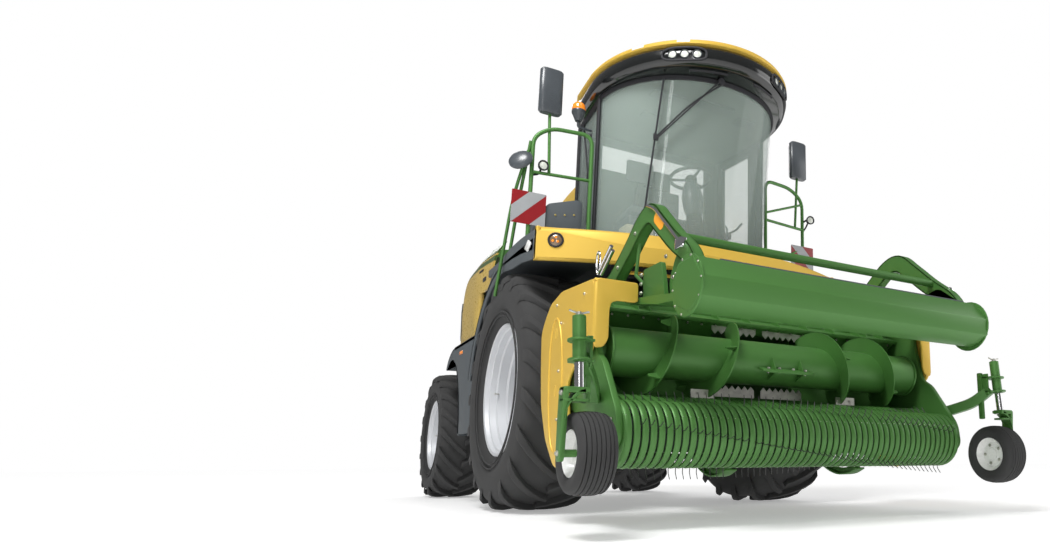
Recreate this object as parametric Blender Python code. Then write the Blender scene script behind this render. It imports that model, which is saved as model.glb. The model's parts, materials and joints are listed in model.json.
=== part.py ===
"""Self-propelled forage harvester with a pickup header, one object for each real piece.

Metres, +Z up. The machine faces -Y and its right-hand side is -X. Inside this file every
place is given from the point on the ground below the front axle; the whole machine then
hangs from one empty that moves that point, so the world origin is under the middle of the
machine's length. The header is shown lifted, as the machine stands when it is parked for view.
"""
import math

import bmesh
import bpy
from mathutils import Matrix, Vector

# ---- driving dimensions ----
WHEELBASE = 3.08
AXLE_TO_MIDDLE = 0.76          # front axle back to the middle of the machine's length
GAP = 0.0003                   # between pieces that touch

FRONT_TYRE_RADIUS = 0.99
FRONT_TYRE_WIDTH = 0.71
FRONT_RIM_RADIUS = 0.545
FRONT_WHEEL_X = 1.135
FRONT_DISC_X = 0.98            # inner face of the wheel disc

REAR_TYRE_RADIUS = 0.715
REAR_TYRE_WIDTH = 0.54
REAR_RIM_RADIUS = 0.395
REAR_WHEEL_X = 1.16
REAR_DISC_X = 1.05
KINGPIN_X = 0.88

GAUGE_TYRE_RADIUS = 0.218
GAUGE_TYRE_WIDTH = 0.207

PLATE_X = 0.50                 # inner face of the frame's side plates
PLATE_THICK = 0.06
AXLE_TOP = 1.10
AXLE_HALF_DEPTH = 0.15
RAIL_X = 0.34
RAIL_WIDTH = 0.10
RAIL_BOTTOM = 1.05
RAIL_TOP = 1.30

PLATFORM_Z = 2.08
PLATFORM_THICK = 0.07
PLATFORM_X = 1.45

CAB_FRONT_Y = -0.45            # where the cab's straight sides meet its round front
CAB_HALF = 0.86
CAB_REAR_Y = 0.27
CAB_REAR_HALF = 0.80
CAB_FLOOR_Z = 2.15
CAB_ROOF_Z = 3.60
CAB_NOSE_LOW = 0.50            # depth of the round front at the floor
CAB_NOSE_HIGH = 0.88           # and below the roof: the screen leans forward
CAB_WALL = 0.05
GLASS = 0.012
ROOF_TOP = 3.88

PANEL_BOTTOM = 1.62
PANEL_TOP = 2.47
PANEL_REAR_Y = 3.30
PANEL_THICK = 0.04

LIFT_PIVOT = (-0.45, 1.15)     # header lift axis, as (y, z)
INTAKE_HALF = 0.42
INTAKE_FRONT_Y = -1.60
INTAKE_BACK_Y = -0.62
INTAKE_BOTTOM = 0.82
INTAKE_TOP = 1.38
INTAKE_WALL = 0.035
CYLINDER_BASE = (-0.12, 0.62)
CYLINDER_EYE = (-1.15, 0.755)
CYLINDER_X = 0.33
CYLINDER_LUG_X = 0.39          # inner faces of the lugs that hold the lift cylinders

HEADER_HALF = 1.40
HEADER_PLATE = 0.04
AUGER_AXIS = (-1.95, 1.075)
AUGER_TUBE = 0.157
AUGER_FLIGHT = 0.275
PICKUP_AXIS = (-2.28, 0.545)
PICKUP_RADIUS = 0.198
PRESS_PIVOT = (-1.45, 1.60)
PRESS_ARM_X = 1.05
PRESS_ARM_THICK = 0.07
CASTER_TOP = (HEADER_HALF + 0.285, -2.584, 1.148)
CASTER_LOW = (HEADER_HALF + 0.281, -2.608, 0.899)
GAUGE_WHEEL = (HEADER_HALF + 0.222, -2.606, 0.43)

TURRET_Y = 0.95
TURRET_Z = 2.60
SPOUT_PIVOT = (0.74, 2.98)
SPOUT_HALF = 0.20
SPOUT_DEPTH = 0.28
SPOUT_WALL = 0.02
SPOUT_PATH = [(0.97, 3.0), (1.02, 3.22), (1.20, 3.44), (1.55, 3.56), (2.10, 3.58),
              (2.80, 3.49), (3.45, 3.33), (4.05, 3.12)]
FLAP_LENGTH = 0.40
SPOUT_CYLINDER_BASE = (1.27, 2.76)
SPOUT_CYLINDER_EYE = (2.02, 3.33)

# ---- finishes: colour, roughness, metallic, alpha ----
FINISHES = {
    "yellow_paint": ((0.72, 0.47, 0.07), 0.35, 0.0, 1.0),
    "green_paint": ((0.07, 0.20, 0.045), 0.38, 0.0, 1.0),
    "dark_plastic": ((0.075, 0.085, 0.095), 0.55, 0.0, 1.0),
    "black_trim": ((0.02, 0.02, 0.022), 0.45, 0.0, 1.0),
    "chassis_paint": ((0.06, 0.07, 0.07), 0.5, 0.0, 1.0),
    "tyre_rubber": ((0.035, 0.035, 0.037), 0.8, 0.0, 1.0),
    "rim_silver": ((0.62, 0.63, 0.65), 0.35, 0.8, 1.0),
    "chrome_rod": ((0.75, 0.75, 0.76), 0.12, 1.0, 1.0),
    "cab_glass": ((0.55, 0.66, 0.60), 0.03, 0.0, 0.25),
    "seat_cloth": ((0.05, 0.05, 0.055), 0.9, 0.0, 1.0),
}


# ---- shapes: each function returns a closed bmesh with its faces pointing out ----
def finish_shape(bm):
    bmesh.ops.recalc_face_normals(bm, faces=bm.faces[:])
    return bm


def block(low, high, bevel=0.0):
    """An upright box between two corners, with its edges chamfered by bevel."""
    bm = bmesh.new()
    low, high = Vector(low), Vector(high)
    place = Matrix.Translation((low + high) / 2) @ Matrix.Diagonal((*(high - low), 1.0))
    bmesh.ops.create_cube(bm, size=1.0, matrix=place)
    if bevel:
        bmesh.ops.bevel(bm, geom=bm.edges[:], offset=bevel, segments=1, affect="EDGES")
    return finish_shape(bm)


def loft(rings, closed=False):
    """Skin through rings of equally many points, capped at both ends unless it closes."""
    bm = bmesh.new()
    rows = [[bm.verts.new(point) for point in ring] for ring in rings]
    count = len(rows[0])
    pairs = list(zip(rows, rows[1:]))
    if closed:
        pairs.append((rows[-1], rows[0]))
    for near, far in pairs:
        for i in range(count):
            j = (i + 1) % count
            bm.faces.new((near[i], near[j], far[j], far[i]))
    if not closed:
        bm.faces.new(rows[0])
        bm.faces.new(list(reversed(rows[-1])))
    return finish_shape(bm)


def slab(outline, axis, low, high):
    """A flat outline given in the two other axes, extruded along axis from low to high."""
    def place(point, along):
        a, b = point
        return {"X": (along, a, b), "Y": (a, along, b), "Z": (a, b, along)}[axis]
    return loft([[place(p, low) for p in outline], [place(p, high) for p in outline]])


def around(axis):
    """Two unit vectors square to axis and to each other."""
    axis = Vector(axis).normalized()
    helper = Vector((0, 0, 1)) if abs(axis.z) < 0.9 else Vector((0, 1, 0))
    first = axis.cross(helper).normalized()
    return first, axis.cross(first).normalized()


def circle(centre, axis, radius, sides, turn=0.0):
    first, second = around(axis)
    angles = [math.tau * i / sides + turn for i in range(sides)]
    return [Vector(centre) + radius * (math.cos(a) * first + math.sin(a) * second) for a in angles]


def rod(start, end, radius, sides=12, end_radius=None):
    """A round bar between two points, tapered when end_radius is given."""
    axis = Vector(end) - Vector(start)
    far = radius if end_radius is None else end_radius
    return loft([circle(start, axis, radius, sides), circle(end, axis, far, sides)])


def pipe(route, radius, sides=6):
    """A round tube along straight runs, mitred at the corners."""
    route = [Vector(p) for p in route]
    steps = [(b - a).normalized() for a, b in zip(route, route[1:])]
    first, second = around(steps[0])
    offsets = [radius * (math.cos(a) * first + math.sin(a) * second)
               for a in (math.tau * i / sides for i in range(sides))]
    rings = [[route[0] + o for o in offsets]]
    for i, step in enumerate(steps):
        corner = route[i + 1]
        normal = step if i + 1 == len(steps) else (step + steps[i + 1]).normalized()
        ring = []
        for point in rings[-1]:
            reach = (corner - point).dot(normal) / step.dot(normal)
            ring.append(point + step * reach)
        rings.append(ring)
    return loft(rings)


def turned(profile, centre, axis, steps):
    """A solid of revolution. The profile is a list of (radius, distance along axis); it either
    starts and ends on the axis or closes on itself to make a ring."""
    first, second = around(axis)
    axis = Vector(axis).normalized()
    centre = Vector(centre)
    solid_core = profile[0][0] == 0.0
    bm = bmesh.new()
    columns = []
    poles = [bm.verts.new(centre + axis * profile[i][1]) for i in (0, -1)] if solid_core else []
    bend = profile[1:-1] if solid_core else profile
    for i in range(steps):
        angle = math.tau * i / steps
        out = math.cos(angle) * first + math.sin(angle) * second
        columns.append([bm.verts.new(centre + out * r + axis * a) for r, a in bend])
    for i in range(steps):
        here, there = columns[i], columns[(i + 1) % steps]
        last = len(bend) - 1 if solid_core else len(bend)
        for k in range(last):
            m = (k + 1) % len(bend)
            bm.faces.new((here[k], here[m], there[m], there[k]))
        if solid_core:
            bm.faces.new((poles[0], here[0], there[0]))
            bm.faces.new((poles[1], there[-1], here[-1]))
    return finish_shape(bm)


def bar(start, end, width, x_low, x_high):
    """A flat bar with round ends in the upright fore-and-aft plane, between two (y, z) points."""
    a, b = Vector(start), Vector(end)
    angle = math.atan2(b.y - a.y, b.x - a.x)
    outline = []
    for centre, base in ((b, -math.pi / 2), (a, math.pi / 2)):
        for i in range(5):
            turn = angle + base + math.pi * i / 4
            outline.append((centre.x + width / 2 * math.cos(turn),
                            centre.y + width / 2 * math.sin(turn)))
    return slab(outline, "X", x_low, x_high)


def disc(centre, radius, x_low, x_high, sides=20):
    """A round plate standing across the machine, centred on a (y, z) point."""
    y, z = centre
    return rod((x_low, y, z), (x_high, y, z), radius, sides)


def mirrored(low, high, side):
    """The x limits of a piece, moved to the left (1) or right (-1) side of the machine."""
    return (low, high) if side > 0 else (-high, -low)


# ---- objects ----
def material(finish):
    if finish in bpy.data.materials:
        return bpy.data.materials[finish]
    colour, roughness, metallic, alpha = FINISHES[finish]
    made = bpy.data.materials.new(finish)
    made.use_nodes = True
    shader = made.node_tree.nodes["Principled BSDF"]
    shader.inputs["Base Color"].default_value = (*colour, 1.0)
    shader.inputs["Roughness"].default_value = roughness
    shader.inputs["Metallic"].default_value = metallic
    shader.inputs["Alpha"].default_value = alpha
    return made


def as_object(name, bm):
    mesh = bpy.data.meshes.new(name)
    bm.to_mesh(mesh)
    bm.free()
    made = bpy.data.objects.new(name, mesh)
    bpy.context.scene.collection.objects.link(made)
    return made


def combined(base, shapes, operation):
    """Base joined with, or cut by, every shape at once. The helpers are removed again."""
    group = bpy.data.collections.new("helpers")
    bpy.context.scene.collection.children.link(group)
    helpers = [as_object("helper", shape) for shape in shapes]
    for helper in helpers:
        bpy.context.scene.collection.objects.unlink(helper)
        group.objects.link(helper)
    change = base.modifiers.new(operation.lower(), "BOOLEAN")
    change.operation = operation
    change.operand_type = "COLLECTION"
    change.collection = group
    change.solver = "EXACT"
    graph = bpy.context.evaluated_depsgraph_get()
    mesh = bpy.data.meshes.new_from_object(base.evaluated_get(graph))
    base.modifiers.clear()
    old, base.data = base.data, mesh
    bpy.data.meshes.remove(old)
    for helper in helpers:
        data = helper.data
        bpy.data.objects.remove(helper)
        bpy.data.meshes.remove(data)
    bpy.data.collections.remove(group)


def make(name, shapes, finish, cuts=(), pivot=(0.0, 0.0, 0.0), smooth=True):
    """One named piece: the union of its shapes less its cuts, its origin at pivot."""
    piece = as_object(name, shapes[0])
    if len(shapes) > 1:
        combined(piece, shapes[1:], "UNION")
    if cuts:
        combined(piece, cuts, "DIFFERENCE")
    bm = bmesh.new()
    bm.from_mesh(piece.data)
    bmesh.ops.remove_doubles(bm, verts=bm.verts[:], dist=0.00002)
    bmesh.ops.dissolve_limit(bm, angle_limit=0.0005, verts=bm.verts[:], edges=bm.edges[:])
    bmesh.ops.translate(bm, verts=bm.verts[:], vec=-Vector(pivot))
    bm.to_mesh(piece.data)
    bm.free()
    piece.data.materials.clear()
    piece.data.materials.append(material(finish))
    if smooth:
        piece.data.shade_smooth()
        piece.data.set_sharp_from_angle(angle=math.radians(35))
    piece.parent = bpy.data.objects["machine"]
    piece.location = pivot
    return piece


SIDES = (("right", -1), ("left", 1))


# ---- chassis ----
def main_frame():
    notch = AXLE_HALF_DEPTH + GAP
    plate = [(-0.60, 1.0), (-notch, 1.0), (-notch, AXLE_TOP + GAP), (notch, AXLE_TOP + GAP),
             (notch, 1.0), (1.30, 1.0), (1.30, 1.35), (0.90, 1.85), (-0.45, 1.85), (-0.60, 1.60)]
    shapes = []
    for _, side in SIDES:
        shapes.append(slab(plate, "X", *mirrored(PLATE_X, PLATE_X + PLATE_THICK, side)))
        rail = mirrored(RAIL_X, RAIL_X + RAIL_WIDTH, side)
        shapes.append(block((rail[0], 1.15, RAIL_BOTTOM), (rail[1], 3.95, RAIL_TOP)))
        for y in (1.86, 3.6):
            shapes.append(block((rail[0], y, RAIL_TOP - 0.05), (rail[1], y + 0.08, 1.58)))
        post = mirrored(PLATE_X - 0.01, PLATE_X + PLATE_THICK + 0.01, side)
        for y in (-0.42, 0.50):
            shapes.append(block((post[0], y, 1.70), (post[1], y + 0.10, PLATFORM_Z - GAP)))
    edge = PLATE_X + PLATE_THICK
    shapes.append(block((-edge, 1.15, RAIL_BOTTOM), (edge, 1.29, RAIL_TOP)))
    shapes.append(block((-edge, -0.58, 1.68), (edge, -0.47, 1.84)))
    for y, z, half in ((1.16, 1.20, 1.3797), (1.86, 1.50, 1.36), (3.6, 1.50, 1.0)):
        shapes.append(block((-half, y, z), (half, y + 0.08, z + 0.08)))
    middle = RAIL_X + 0.05
    shapes.append(block((-middle, 3.80, RAIL_BOTTOM), (middle, 3.92, RAIL_TOP)))
    shapes.append(block((-middle, WHEELBASE - 0.10, RAIL_BOTTOM), (middle, WHEELBASE + 0.10, RAIL_TOP)))
    shapes.append(block((-0.16, WHEELBASE - 0.10, 0.79 + GAP), (0.16, WHEELBASE + 0.10, 1.10)))
    shapes.append(block((-0.16, 3.86, 0.92), (0.16, 4.02, 1.16)))
    make("main_frame", shapes, "chassis_paint")


def front_axle():
    shapes = [block((-0.72, -AXLE_HALF_DEPTH, 0.88), (0.72, AXLE_HALF_DEPTH, AXLE_TOP), 0.02)]
    z = FRONT_TYRE_RADIUS
    for _, side in SIDES:
        shapes.append(rod((side * 0.66, 0, z), (side * (FRONT_DISC_X - GAP), 0, z), 0.20, 24))
        lug = mirrored(CYLINDER_LUG_X, CYLINDER_LUG_X + 0.04, side)
        shapes.append(block((lug[0], -0.18, CYLINDER_BASE[1] - 0.06), (lug[1], -0.06, 0.90)))
    make("front_axle", shapes, "chassis_paint")


def rear_axle():
    y, z = WHEELBASE, REAR_TYRE_RADIUS
    shapes = [block((-0.80, y - 0.08, z - 0.075), (0.80, y + 0.08, z + 0.075), 0.01)]
    for _, side in SIDES:
        web = mirrored(0.74, 0.80, side)
        yoke = mirrored(0.74, KINGPIN_X + 0.06, side)
        shapes.append(block((web[0], y - 0.07, z - 0.195), (web[1], y + 0.07, z + 0.195)))
        for low in (z + 0.145, z - 0.195):
            shapes.append(block((yoke[0], y - 0.07, low), (yoke[1], y + 0.07, low + 0.05)))
    make("rear_axle", shapes, "chassis_paint")


def knuckles():
    z = REAR_TYRE_RADIUS
    for name, side in SIDES:
        x = side * KINGPIN_X
        reach = 0.145 - GAP
        shapes = [rod((x, WHEELBASE, z - reach), (x, WHEELBASE, z + reach), 0.045, 16)]
        face = side * (REAR_DISC_X - GAP)
        shapes.append(rod((x, WHEELBASE, z), (face, WHEELBASE, z), 0.06, 16))
        shapes.append(rod((face - side * 0.045, WHEELBASE, z), (face, WHEELBASE, z), 0.125, 24))
        make("knuckle_" + name, shapes, "chassis_paint", pivot=(x, WHEELBASE, z))


def tyre_profile(radius, rim_radius, width):
    """The tyre's section: bead, bulging side wall, shoulder and crown, out and back again."""
    wall = radius - rim_radius
    half = [(rim_radius, 0.40), (rim_radius + 0.35 * wall, 0.50), (rim_radius + 0.76 * wall, 0.485),
            (radius, 0.36)]
    outer = [(r, share * width) for r, share in half]
    return outer + [(r, -share) for r, share in reversed(outer)]


def rim_profile(rim_radius, width, disc_at, barrel_wall=0.04, disc_thick=0.03):
    """The rim's half section from the axis out, along the barrel and back to the axis."""
    outer = rim_radius - GAP
    inner = rim_radius - barrel_wall
    end = 0.40 * width
    return [(0.0, disc_at), (inner, disc_at), (inner, -end), (outer, -end), (outer, end),
            (inner, end), (inner, disc_at + disc_thick), (0.0, disc_at + disc_thick)]


def road_wheels():
    rows = (("front", 0.0, FRONT_TYRE_RADIUS, FRONT_RIM_RADIUS, FRONT_TYRE_WIDTH, FRONT_WHEEL_X,
             FRONT_DISC_X, 32),
            ("rear", WHEELBASE, REAR_TYRE_RADIUS, REAR_RIM_RADIUS, REAR_TYRE_WIDTH, REAR_WHEEL_X,
             REAR_DISC_X, 28))
    for place, y, radius, rim_radius, width, x, disc_x, steps in rows:
        for name, side in SIDES:
            centre = (side * x, y, radius)
            out = (side, 0, 0)
            tyre = turned(tyre_profile(radius, rim_radius, width), centre, out, steps)
            make(f"{place}_tyre_{name}", [tyre], "tyre_rubber", pivot=centre)
            rim = turned(rim_profile(rim_radius, width, disc_x - x), centre, out, steps)
            make(f"{place}_rim_{name}", [rim], "rim_silver", pivot=centre)


def engine():
    low = (-0.43, 2.12, RAIL_TOP + GAP)
    make("engine", [block(low, (0.43, 3.28, 2.20), 0.03)], "chassis_paint")


def chopper_housing():
    """Crop path from the intake, over the front axle and up to the spout's turret."""
    above = AXLE_TOP + GAP
    outline = [(-0.50, 0.92), (-0.19, 0.92), (-0.19, above), (0.30, above), (0.60, 1.28),
               (1.10, 2.05), (1.13, TURRET_Z - 0.08), (0.77, TURRET_Z - 0.08), (0.72, 2.16),
               (0.46, 1.80), (-0.05, 1.66), (-0.42, 1.50)]
    shapes = [slab(outline, "X", -0.385, 0.385)]
    shapes.append(rod((0, TURRET_Y, TURRET_Z - 0.12), (0, TURRET_Y, TURRET_Z - GAP), 0.27, 24))
    make("chopper_housing", shapes, "green_paint")


# ---- platform and front body ----
def front_curve(side_y, bulge, half, count=12):
    """A shallow curve across the machine's front, deepest in the middle."""
    points = []
    for i in range(count + 1):
        x = half * (2 * i / count - 1)
        points.append((x, side_y - bulge * (1 - (x / half) ** 2)))
    return points


def platform():
    top = PLATFORM_Z + PLATFORM_THICK
    front = front_curve(-0.86, 0.27, PLATFORM_X)
    deck = front + [(PLATFORM_X, 1.50), (0.66, 1.50), (0.66, 0.62), (-PLATFORM_X, 0.62)]
    shapes = [slab(deck, "Z", PLATFORM_Z, top)]
    shapes.append(block((-1.26, -0.43, top - 0.01), (-0.95, 0.05, 2.64), 0.03))
    make("platform", shapes, "dark_plastic")


def ladder():
    """Steps on the left, behind the front wheel."""
    low, high = PLATFORM_X + GAP, PLATFORM_X + 0.20
    shapes = []
    for y in (1.11, 1.48):
        shapes.append(block((low, y, 0.44), (low + 0.04, y + 0.04, PLATFORM_Z + PLATFORM_THICK)))
    for i in range(5):
        z = 0.46 + 0.36 * i
        shapes.append(block((low, 1.12, z), (high, 1.51, z + 0.035)))
    shapes.append(block((HEADER_HALF - 0.02, 1.16, 1.21), (low + 0.02, 1.24, 1.27)))
    make("ladder_left", shapes, "dark_plastic")


def front_bumper():
    half = PLATFORM_X + 0.01
    outer = front_curve(-0.90, 0.36, half)
    inner = front_curve(-0.86 - GAP, 0.27, half)
    band = outer + list(reversed(inner))
    make("front_bumper", [slab(band, "Z", 1.90, 2.17)], "yellow_paint")


def front_fenders():
    """Strips over the front wheels, level below the platform and falling behind the wheel."""
    top = PLATFORM_Z - GAP
    centre = FRONT_TYRE_RADIUS
    outer, inner = top - centre, top - centre - 0.055
    ring = [(math.sin(a), math.cos(a)) for a in (math.radians(t) for t in range(0, 84, 9))]
    outline = [(-0.86, top)] + [(outer * s, centre + outer * c) for s, c in ring]
    outline += [(inner * s, centre + inner * c) for s, c in reversed(ring)]
    outline += [(-0.25, top - 0.062), (-0.55, top - 0.10), (-0.86, top - 0.15)]
    for name, side in SIDES:
        shapes = [slab(outline, "X", *mirrored(0.80, 1.47, side))]
        make("front_fender_" + name, shapes, "dark_plastic")


# ---- cab ----
def cab_nose(z):
    share = (z - CAB_FLOOR_Z) / (CAB_ROOF_Z - CAB_FLOOR_Z)
    return CAB_NOSE_LOW + (CAB_NOSE_HIGH - CAB_NOSE_LOW) * share


def cab_round(z, inset, low_angle=0.0, high_angle=180.0, count=14):
    """Points of the cab's round front at height z, inset from its outer face."""
    points = []
    for i in range(count + 1):
        angle = math.radians(low_angle + (high_angle - low_angle) * i / count)
        points.append(((CAB_HALF - inset) * math.cos(angle),
                       CAB_FRONT_Y - (cab_nose(z) - inset) * math.sin(angle)))
    return points


def cab_ring(z, inset=0.0):
    """The cab's whole outline at height z."""
    back = CAB_REAR_Y - inset
    half = CAB_REAR_HALF - inset
    ring = cab_round(z, inset) + [(-half, back), (half, back)]
    return [(x, y, z) for x, y in ring]


def cab_side_x(y, depth):
    """Distance of the cab's flat side from the middle, depth inside its outer face."""
    slope = (CAB_HALF - CAB_REAR_HALF) / (CAB_REAR_Y - CAB_FRONT_Y)
    return CAB_HALF - slope * (y - CAB_FRONT_Y) - depth


def side_sheet(side, y_low, y_high, z_low, z_high, depth_low, depth_high):
    """A flat sheet in the cab's side wall, between two depths from its outer face."""
    corners = [(y_low, depth_low), (y_high, depth_low), (y_high, depth_high), (y_low, depth_high)]
    ring = [(side * cab_side_x(y, depth), y) for y, depth in corners]
    return slab(ring, "Z", z_low, z_high)


def screen_sheet(z_low, z_high, low_angle, high_angle, depth_low, depth_high):
    """A bent sheet in the cab's round front, between two depths from its outer face."""
    rings = []
    for z in (z_low, z_high):
        out = cab_round(z, depth_low, low_angle, high_angle)
        back = cab_round(z, depth_high, low_angle, high_angle)
        rings.append([(x, y, z) for x, y in out + list(reversed(back))])
    return loft(rings)


DOOR = (-0.405, 0.185, 2.215, 3.555)           # y low, y high, z low, z high
DOOR_GLASS = (-0.35, 0.13, 2.30, 3.50)
SIDE_GLASS = (-0.36, 0.16, 2.28, 3.54)
SCREEN = (2.27, 3.55)
SCREEN_ANGLES = (9.0, 171.0)
REAR_GLASS = (0.62, 2.40, 3.50)                # half width, z low, z high
PANE_DEPTH = (0.019, 0.019 + GLASS)


def cab():
    floor = CAB_FLOOR_Z + GAP
    shell = loft([cab_ring(floor), cab_ring(CAB_ROOF_Z)])
    hollow = loft([cab_ring(CAB_FLOOR_Z + CAB_WALL, CAB_WALL), cab_ring(CAB_ROOF_Z + 0.01, CAB_WALL)])
    through = (-0.03, CAB_WALL + 0.03)
    clear = 0.005
    y0, y1, z0, z1 = DOOR
    cuts = [hollow]
    cuts.append(side_sheet(1, y0 - GAP, y1 + clear, z0 - clear, z1 + clear, *through))
    y0, y1, z0, z1 = SIDE_GLASS
    cuts.append(side_sheet(-1, y0 - GAP, y1 + GAP, z0 - GAP, z1 + GAP, *through))
    angle = math.degrees(GAP / CAB_HALF)
    cuts.append(screen_sheet(SCREEN[0] - GAP, SCREEN[1] + GAP, SCREEN_ANGLES[0] - angle * 3,
                             SCREEN_ANGLES[1] + angle * 3, *through))
    half, z0, z1 = REAR_GLASS
    cuts.append(block((-half - GAP, CAB_REAR_Y - 0.1, z0 - GAP), (half + GAP, CAB_REAR_Y + 0.1, z1 + GAP)))
    make("cab_frame", [shell], "black_trim", cuts=cuts)

    screen = screen_sheet(*SCREEN, *SCREEN_ANGLES, *PANE_DEPTH)
    make("windscreen", [screen], "cab_glass")
    make("right_window", [side_sheet(-1, *SIDE_GLASS, *PANE_DEPTH)], "cab_glass")
    pane_y = CAB_REAR_Y - PANE_DEPTH[1]
    pane = block((-half, pane_y, z0), (half, pane_y + GLASS, z1))
    make("rear_window", [pane], "cab_glass")


def cab_door():
    hinge = (cab_side_x(DOOR[0], 0.0), DOOR[0], DOOR[2])
    y0, y1, z0, z1 = DOOR_GLASS
    hole = side_sheet(1, y0 - GAP, y1 + GAP, z0 - GAP, z1 + GAP, -0.03, CAB_WALL + 0.03)
    frame = side_sheet(1, *DOOR, 0.0, CAB_WALL)
    make("cab_door", [frame], "black_trim", cuts=[hole], pivot=hinge)
    glass = side_sheet(1, *DOOR_GLASS, *PANE_DEPTH)
    make("cab_door_glass", [glass], "cab_glass", pivot=hinge)


def roof_ring(z, inset):
    half, depth, rear = 0.935 - inset, 1.108 - inset, 0.29 - inset
    points = []
    for i in range(19):
        angle = math.pi * i / 18
        points.append((half * math.cos(angle), CAB_FRONT_Y - depth * math.sin(angle), z))
    return points + [(-half + 0.11, rear, z), (half - 0.11, rear, z)]


def cab_roof():
    rings = [(CAB_ROOF_Z + GAP, 0.05), (3.65, 0.0), (3.79, 0.0), (3.85, 0.03), (ROOF_TOP, 0.15)]
    make("cab_roof", [loft([roof_ring(z, inset) for z, inset in rings])], "yellow_paint")


def cab_inside():
    floor = CAB_FLOOR_Z + CAB_WALL + GAP
    foot, head = Vector((0, -0.76, floor)), Vector((0, -0.62, 2.97))
    lean = (head - foot).normalized()
    knee = foot + Vector((0, 0, 0.05))
    shapes = [rod(foot, foot + Vector((0, 0, 0.12)), 0.09, 12), rod(knee, head, 0.04, 12)]
    rim = [(0.19 + 0.016 * math.cos(a), 0.016 * math.sin(a))
           for a in (math.tau * i / 5 for i in range(5))]
    shapes.append(turned(rim, head, lean, 18))
    first, second = around(lean)
    for k in range(3):
        angle = math.tau * k / 3 + math.pi / 2
        tip = head + 0.19 * (math.cos(angle) * first + math.sin(angle) * second)
        shapes.append(rod(head, tip, 0.012, 6))
    shapes.append(rod(head - lean * 0.03, head + lean * 0.02, 0.05, 12))
    make("steering_column", shapes, "black_trim")

    seat = [block((-0.18, -0.18, floor), (0.18, 0.10, 2.44)),
            block((-0.25, -0.30, 2.42), (0.25, 0.16, 2.56), 0.03),
            block((-0.24, 0.05, 2.50), (0.24, 0.17, 3.10), 0.03),
            block((-0.14, 0.07, 3.06), (0.14, 0.16, 3.28), 0.03)]
    make("driver_seat", seat, "seat_cloth")

    console = [block((-0.48, -0.34, floor), (-0.31, 0.02, 2.62), 0.01),
               block((-0.47, -0.38, 2.60), (-0.32, 0.02, 2.70), 0.01),
               rod((-0.42, -0.30, 2.68), (-0.42, -0.40, 2.95), 0.015, 8),
               block((-0.55, -0.43, 2.90), (-0.29, -0.40, 3.10))]
    make("control_console", console, "black_trim")


def handrails():
    """Rails round the platform's front corners, each with its warning board and mirror."""
    top = PLATFORM_Z + PLATFORM_THICK + GAP
    tube = 0.0175
    for name, side in SIDES:
        lean = 0.03 if side > 0 else 0.0
        outer_x, y = 1.40 + lean, -0.43
        routes = [[(0.915, -0.50, top), (0.915, -0.50, 3.2), (1.26, -0.45, 3.2),
                   (outer_x, y, 3.10), (outer_x, y, top)],
                  [(0.915, -0.50, 2.78), (outer_x, y, 2.78)],
                  [(1.26 + 2 * lean, -0.45, 2.78), (1.28 + 3 * lean, y, 3.40)]]
        shapes = [pipe([(side * px, py, pz) for px, py, pz in route], tube) for route in routes]
        board = mirrored(1.27, 1.55, side)
        shapes.append(block((board[0], y - 0.02, 2.31), (board[1], y - 0.005, 2.59)))
        head = mirrored(1.18 + 3 * lean, 1.38 + 3 * lean, side)
        shapes.append(block((head[0], y - 0.05, 3.33), (head[1], y + 0.03, 3.74), 0.02))
        make("handrail_" + name, shapes, "green_paint")


# ---- rear body ----
BODY_PLAN = [(0.66, 1.42), (1.2, 1.44), (1.85, 1.41), (2.5, 1.29), (PANEL_REAR_Y, 1.12)]
# How far the side panel leans in from its widest line, and at what height.
PANEL_SECTION = [(0.02, PANEL_BOTTOM), (0.0, 1.85), (0.0, 2.12), (0.03, 2.32), (0.11, PANEL_TOP)]


def body_half(y):
    """Half width of the rear body's outer face at y."""
    for (y0, x0), (y1, x1) in zip(BODY_PLAN, BODY_PLAN[1:]):
        if y <= y1:
            return x0 + (x1 - x0) * (y - y0) / (y1 - y0)
    return BODY_PLAN[-1][1]


def side_panels():
    for name, side in SIDES:
        start = BODY_PLAN[0][0] if side < 0 else 1.56
        places = [start] + [y for y, _ in BODY_PLAN if y > start]
        rings = []
        for y in places:
            half = body_half(y)
            outer = [(side * (half - lean), y, z) for lean, z in PANEL_SECTION]
            inner = [(side * (half - lean - PANEL_THICK), y, z) for lean, z in reversed(PANEL_SECTION)]
            rings.append(outer + inner)
        cuts = []
        if side < 0:
            cuts.append(block((-1.6, 0.5, 1.5), (-1.2, 1.06, 2.0)))
        hinge = (side * body_half(PANEL_REAR_Y), PANEL_REAR_Y, PANEL_BOTTOM)
        make("side_panel_" + name, [loft(rings)], "yellow_paint", cuts=cuts, pivot=hinge)


def hood():
    """The cover over the engine, crowned across, notched on the left beside the walkway."""
    low = PANEL_TOP + GAP
    rings = []
    for y in (1.26, 1.9, 2.6, PANEL_REAR_Y):
        half = body_half(y)
        half -= PANEL_SECTION[-1][0]
        section = [(-half, low), (-half + 0.14, low + 0.09), (-0.5, low + 0.17), (0.5, low + 0.17),
                   (half - 0.14, low + 0.09), (half, low)]
        rings.append([(x, y, z) for x, z in section])
    notch = block((0.66, 1.0, 2.3), (1.6, 1.56, 2.9))
    make("engine_hood", [loft(rings)], "green_paint", cuts=[notch])


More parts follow.
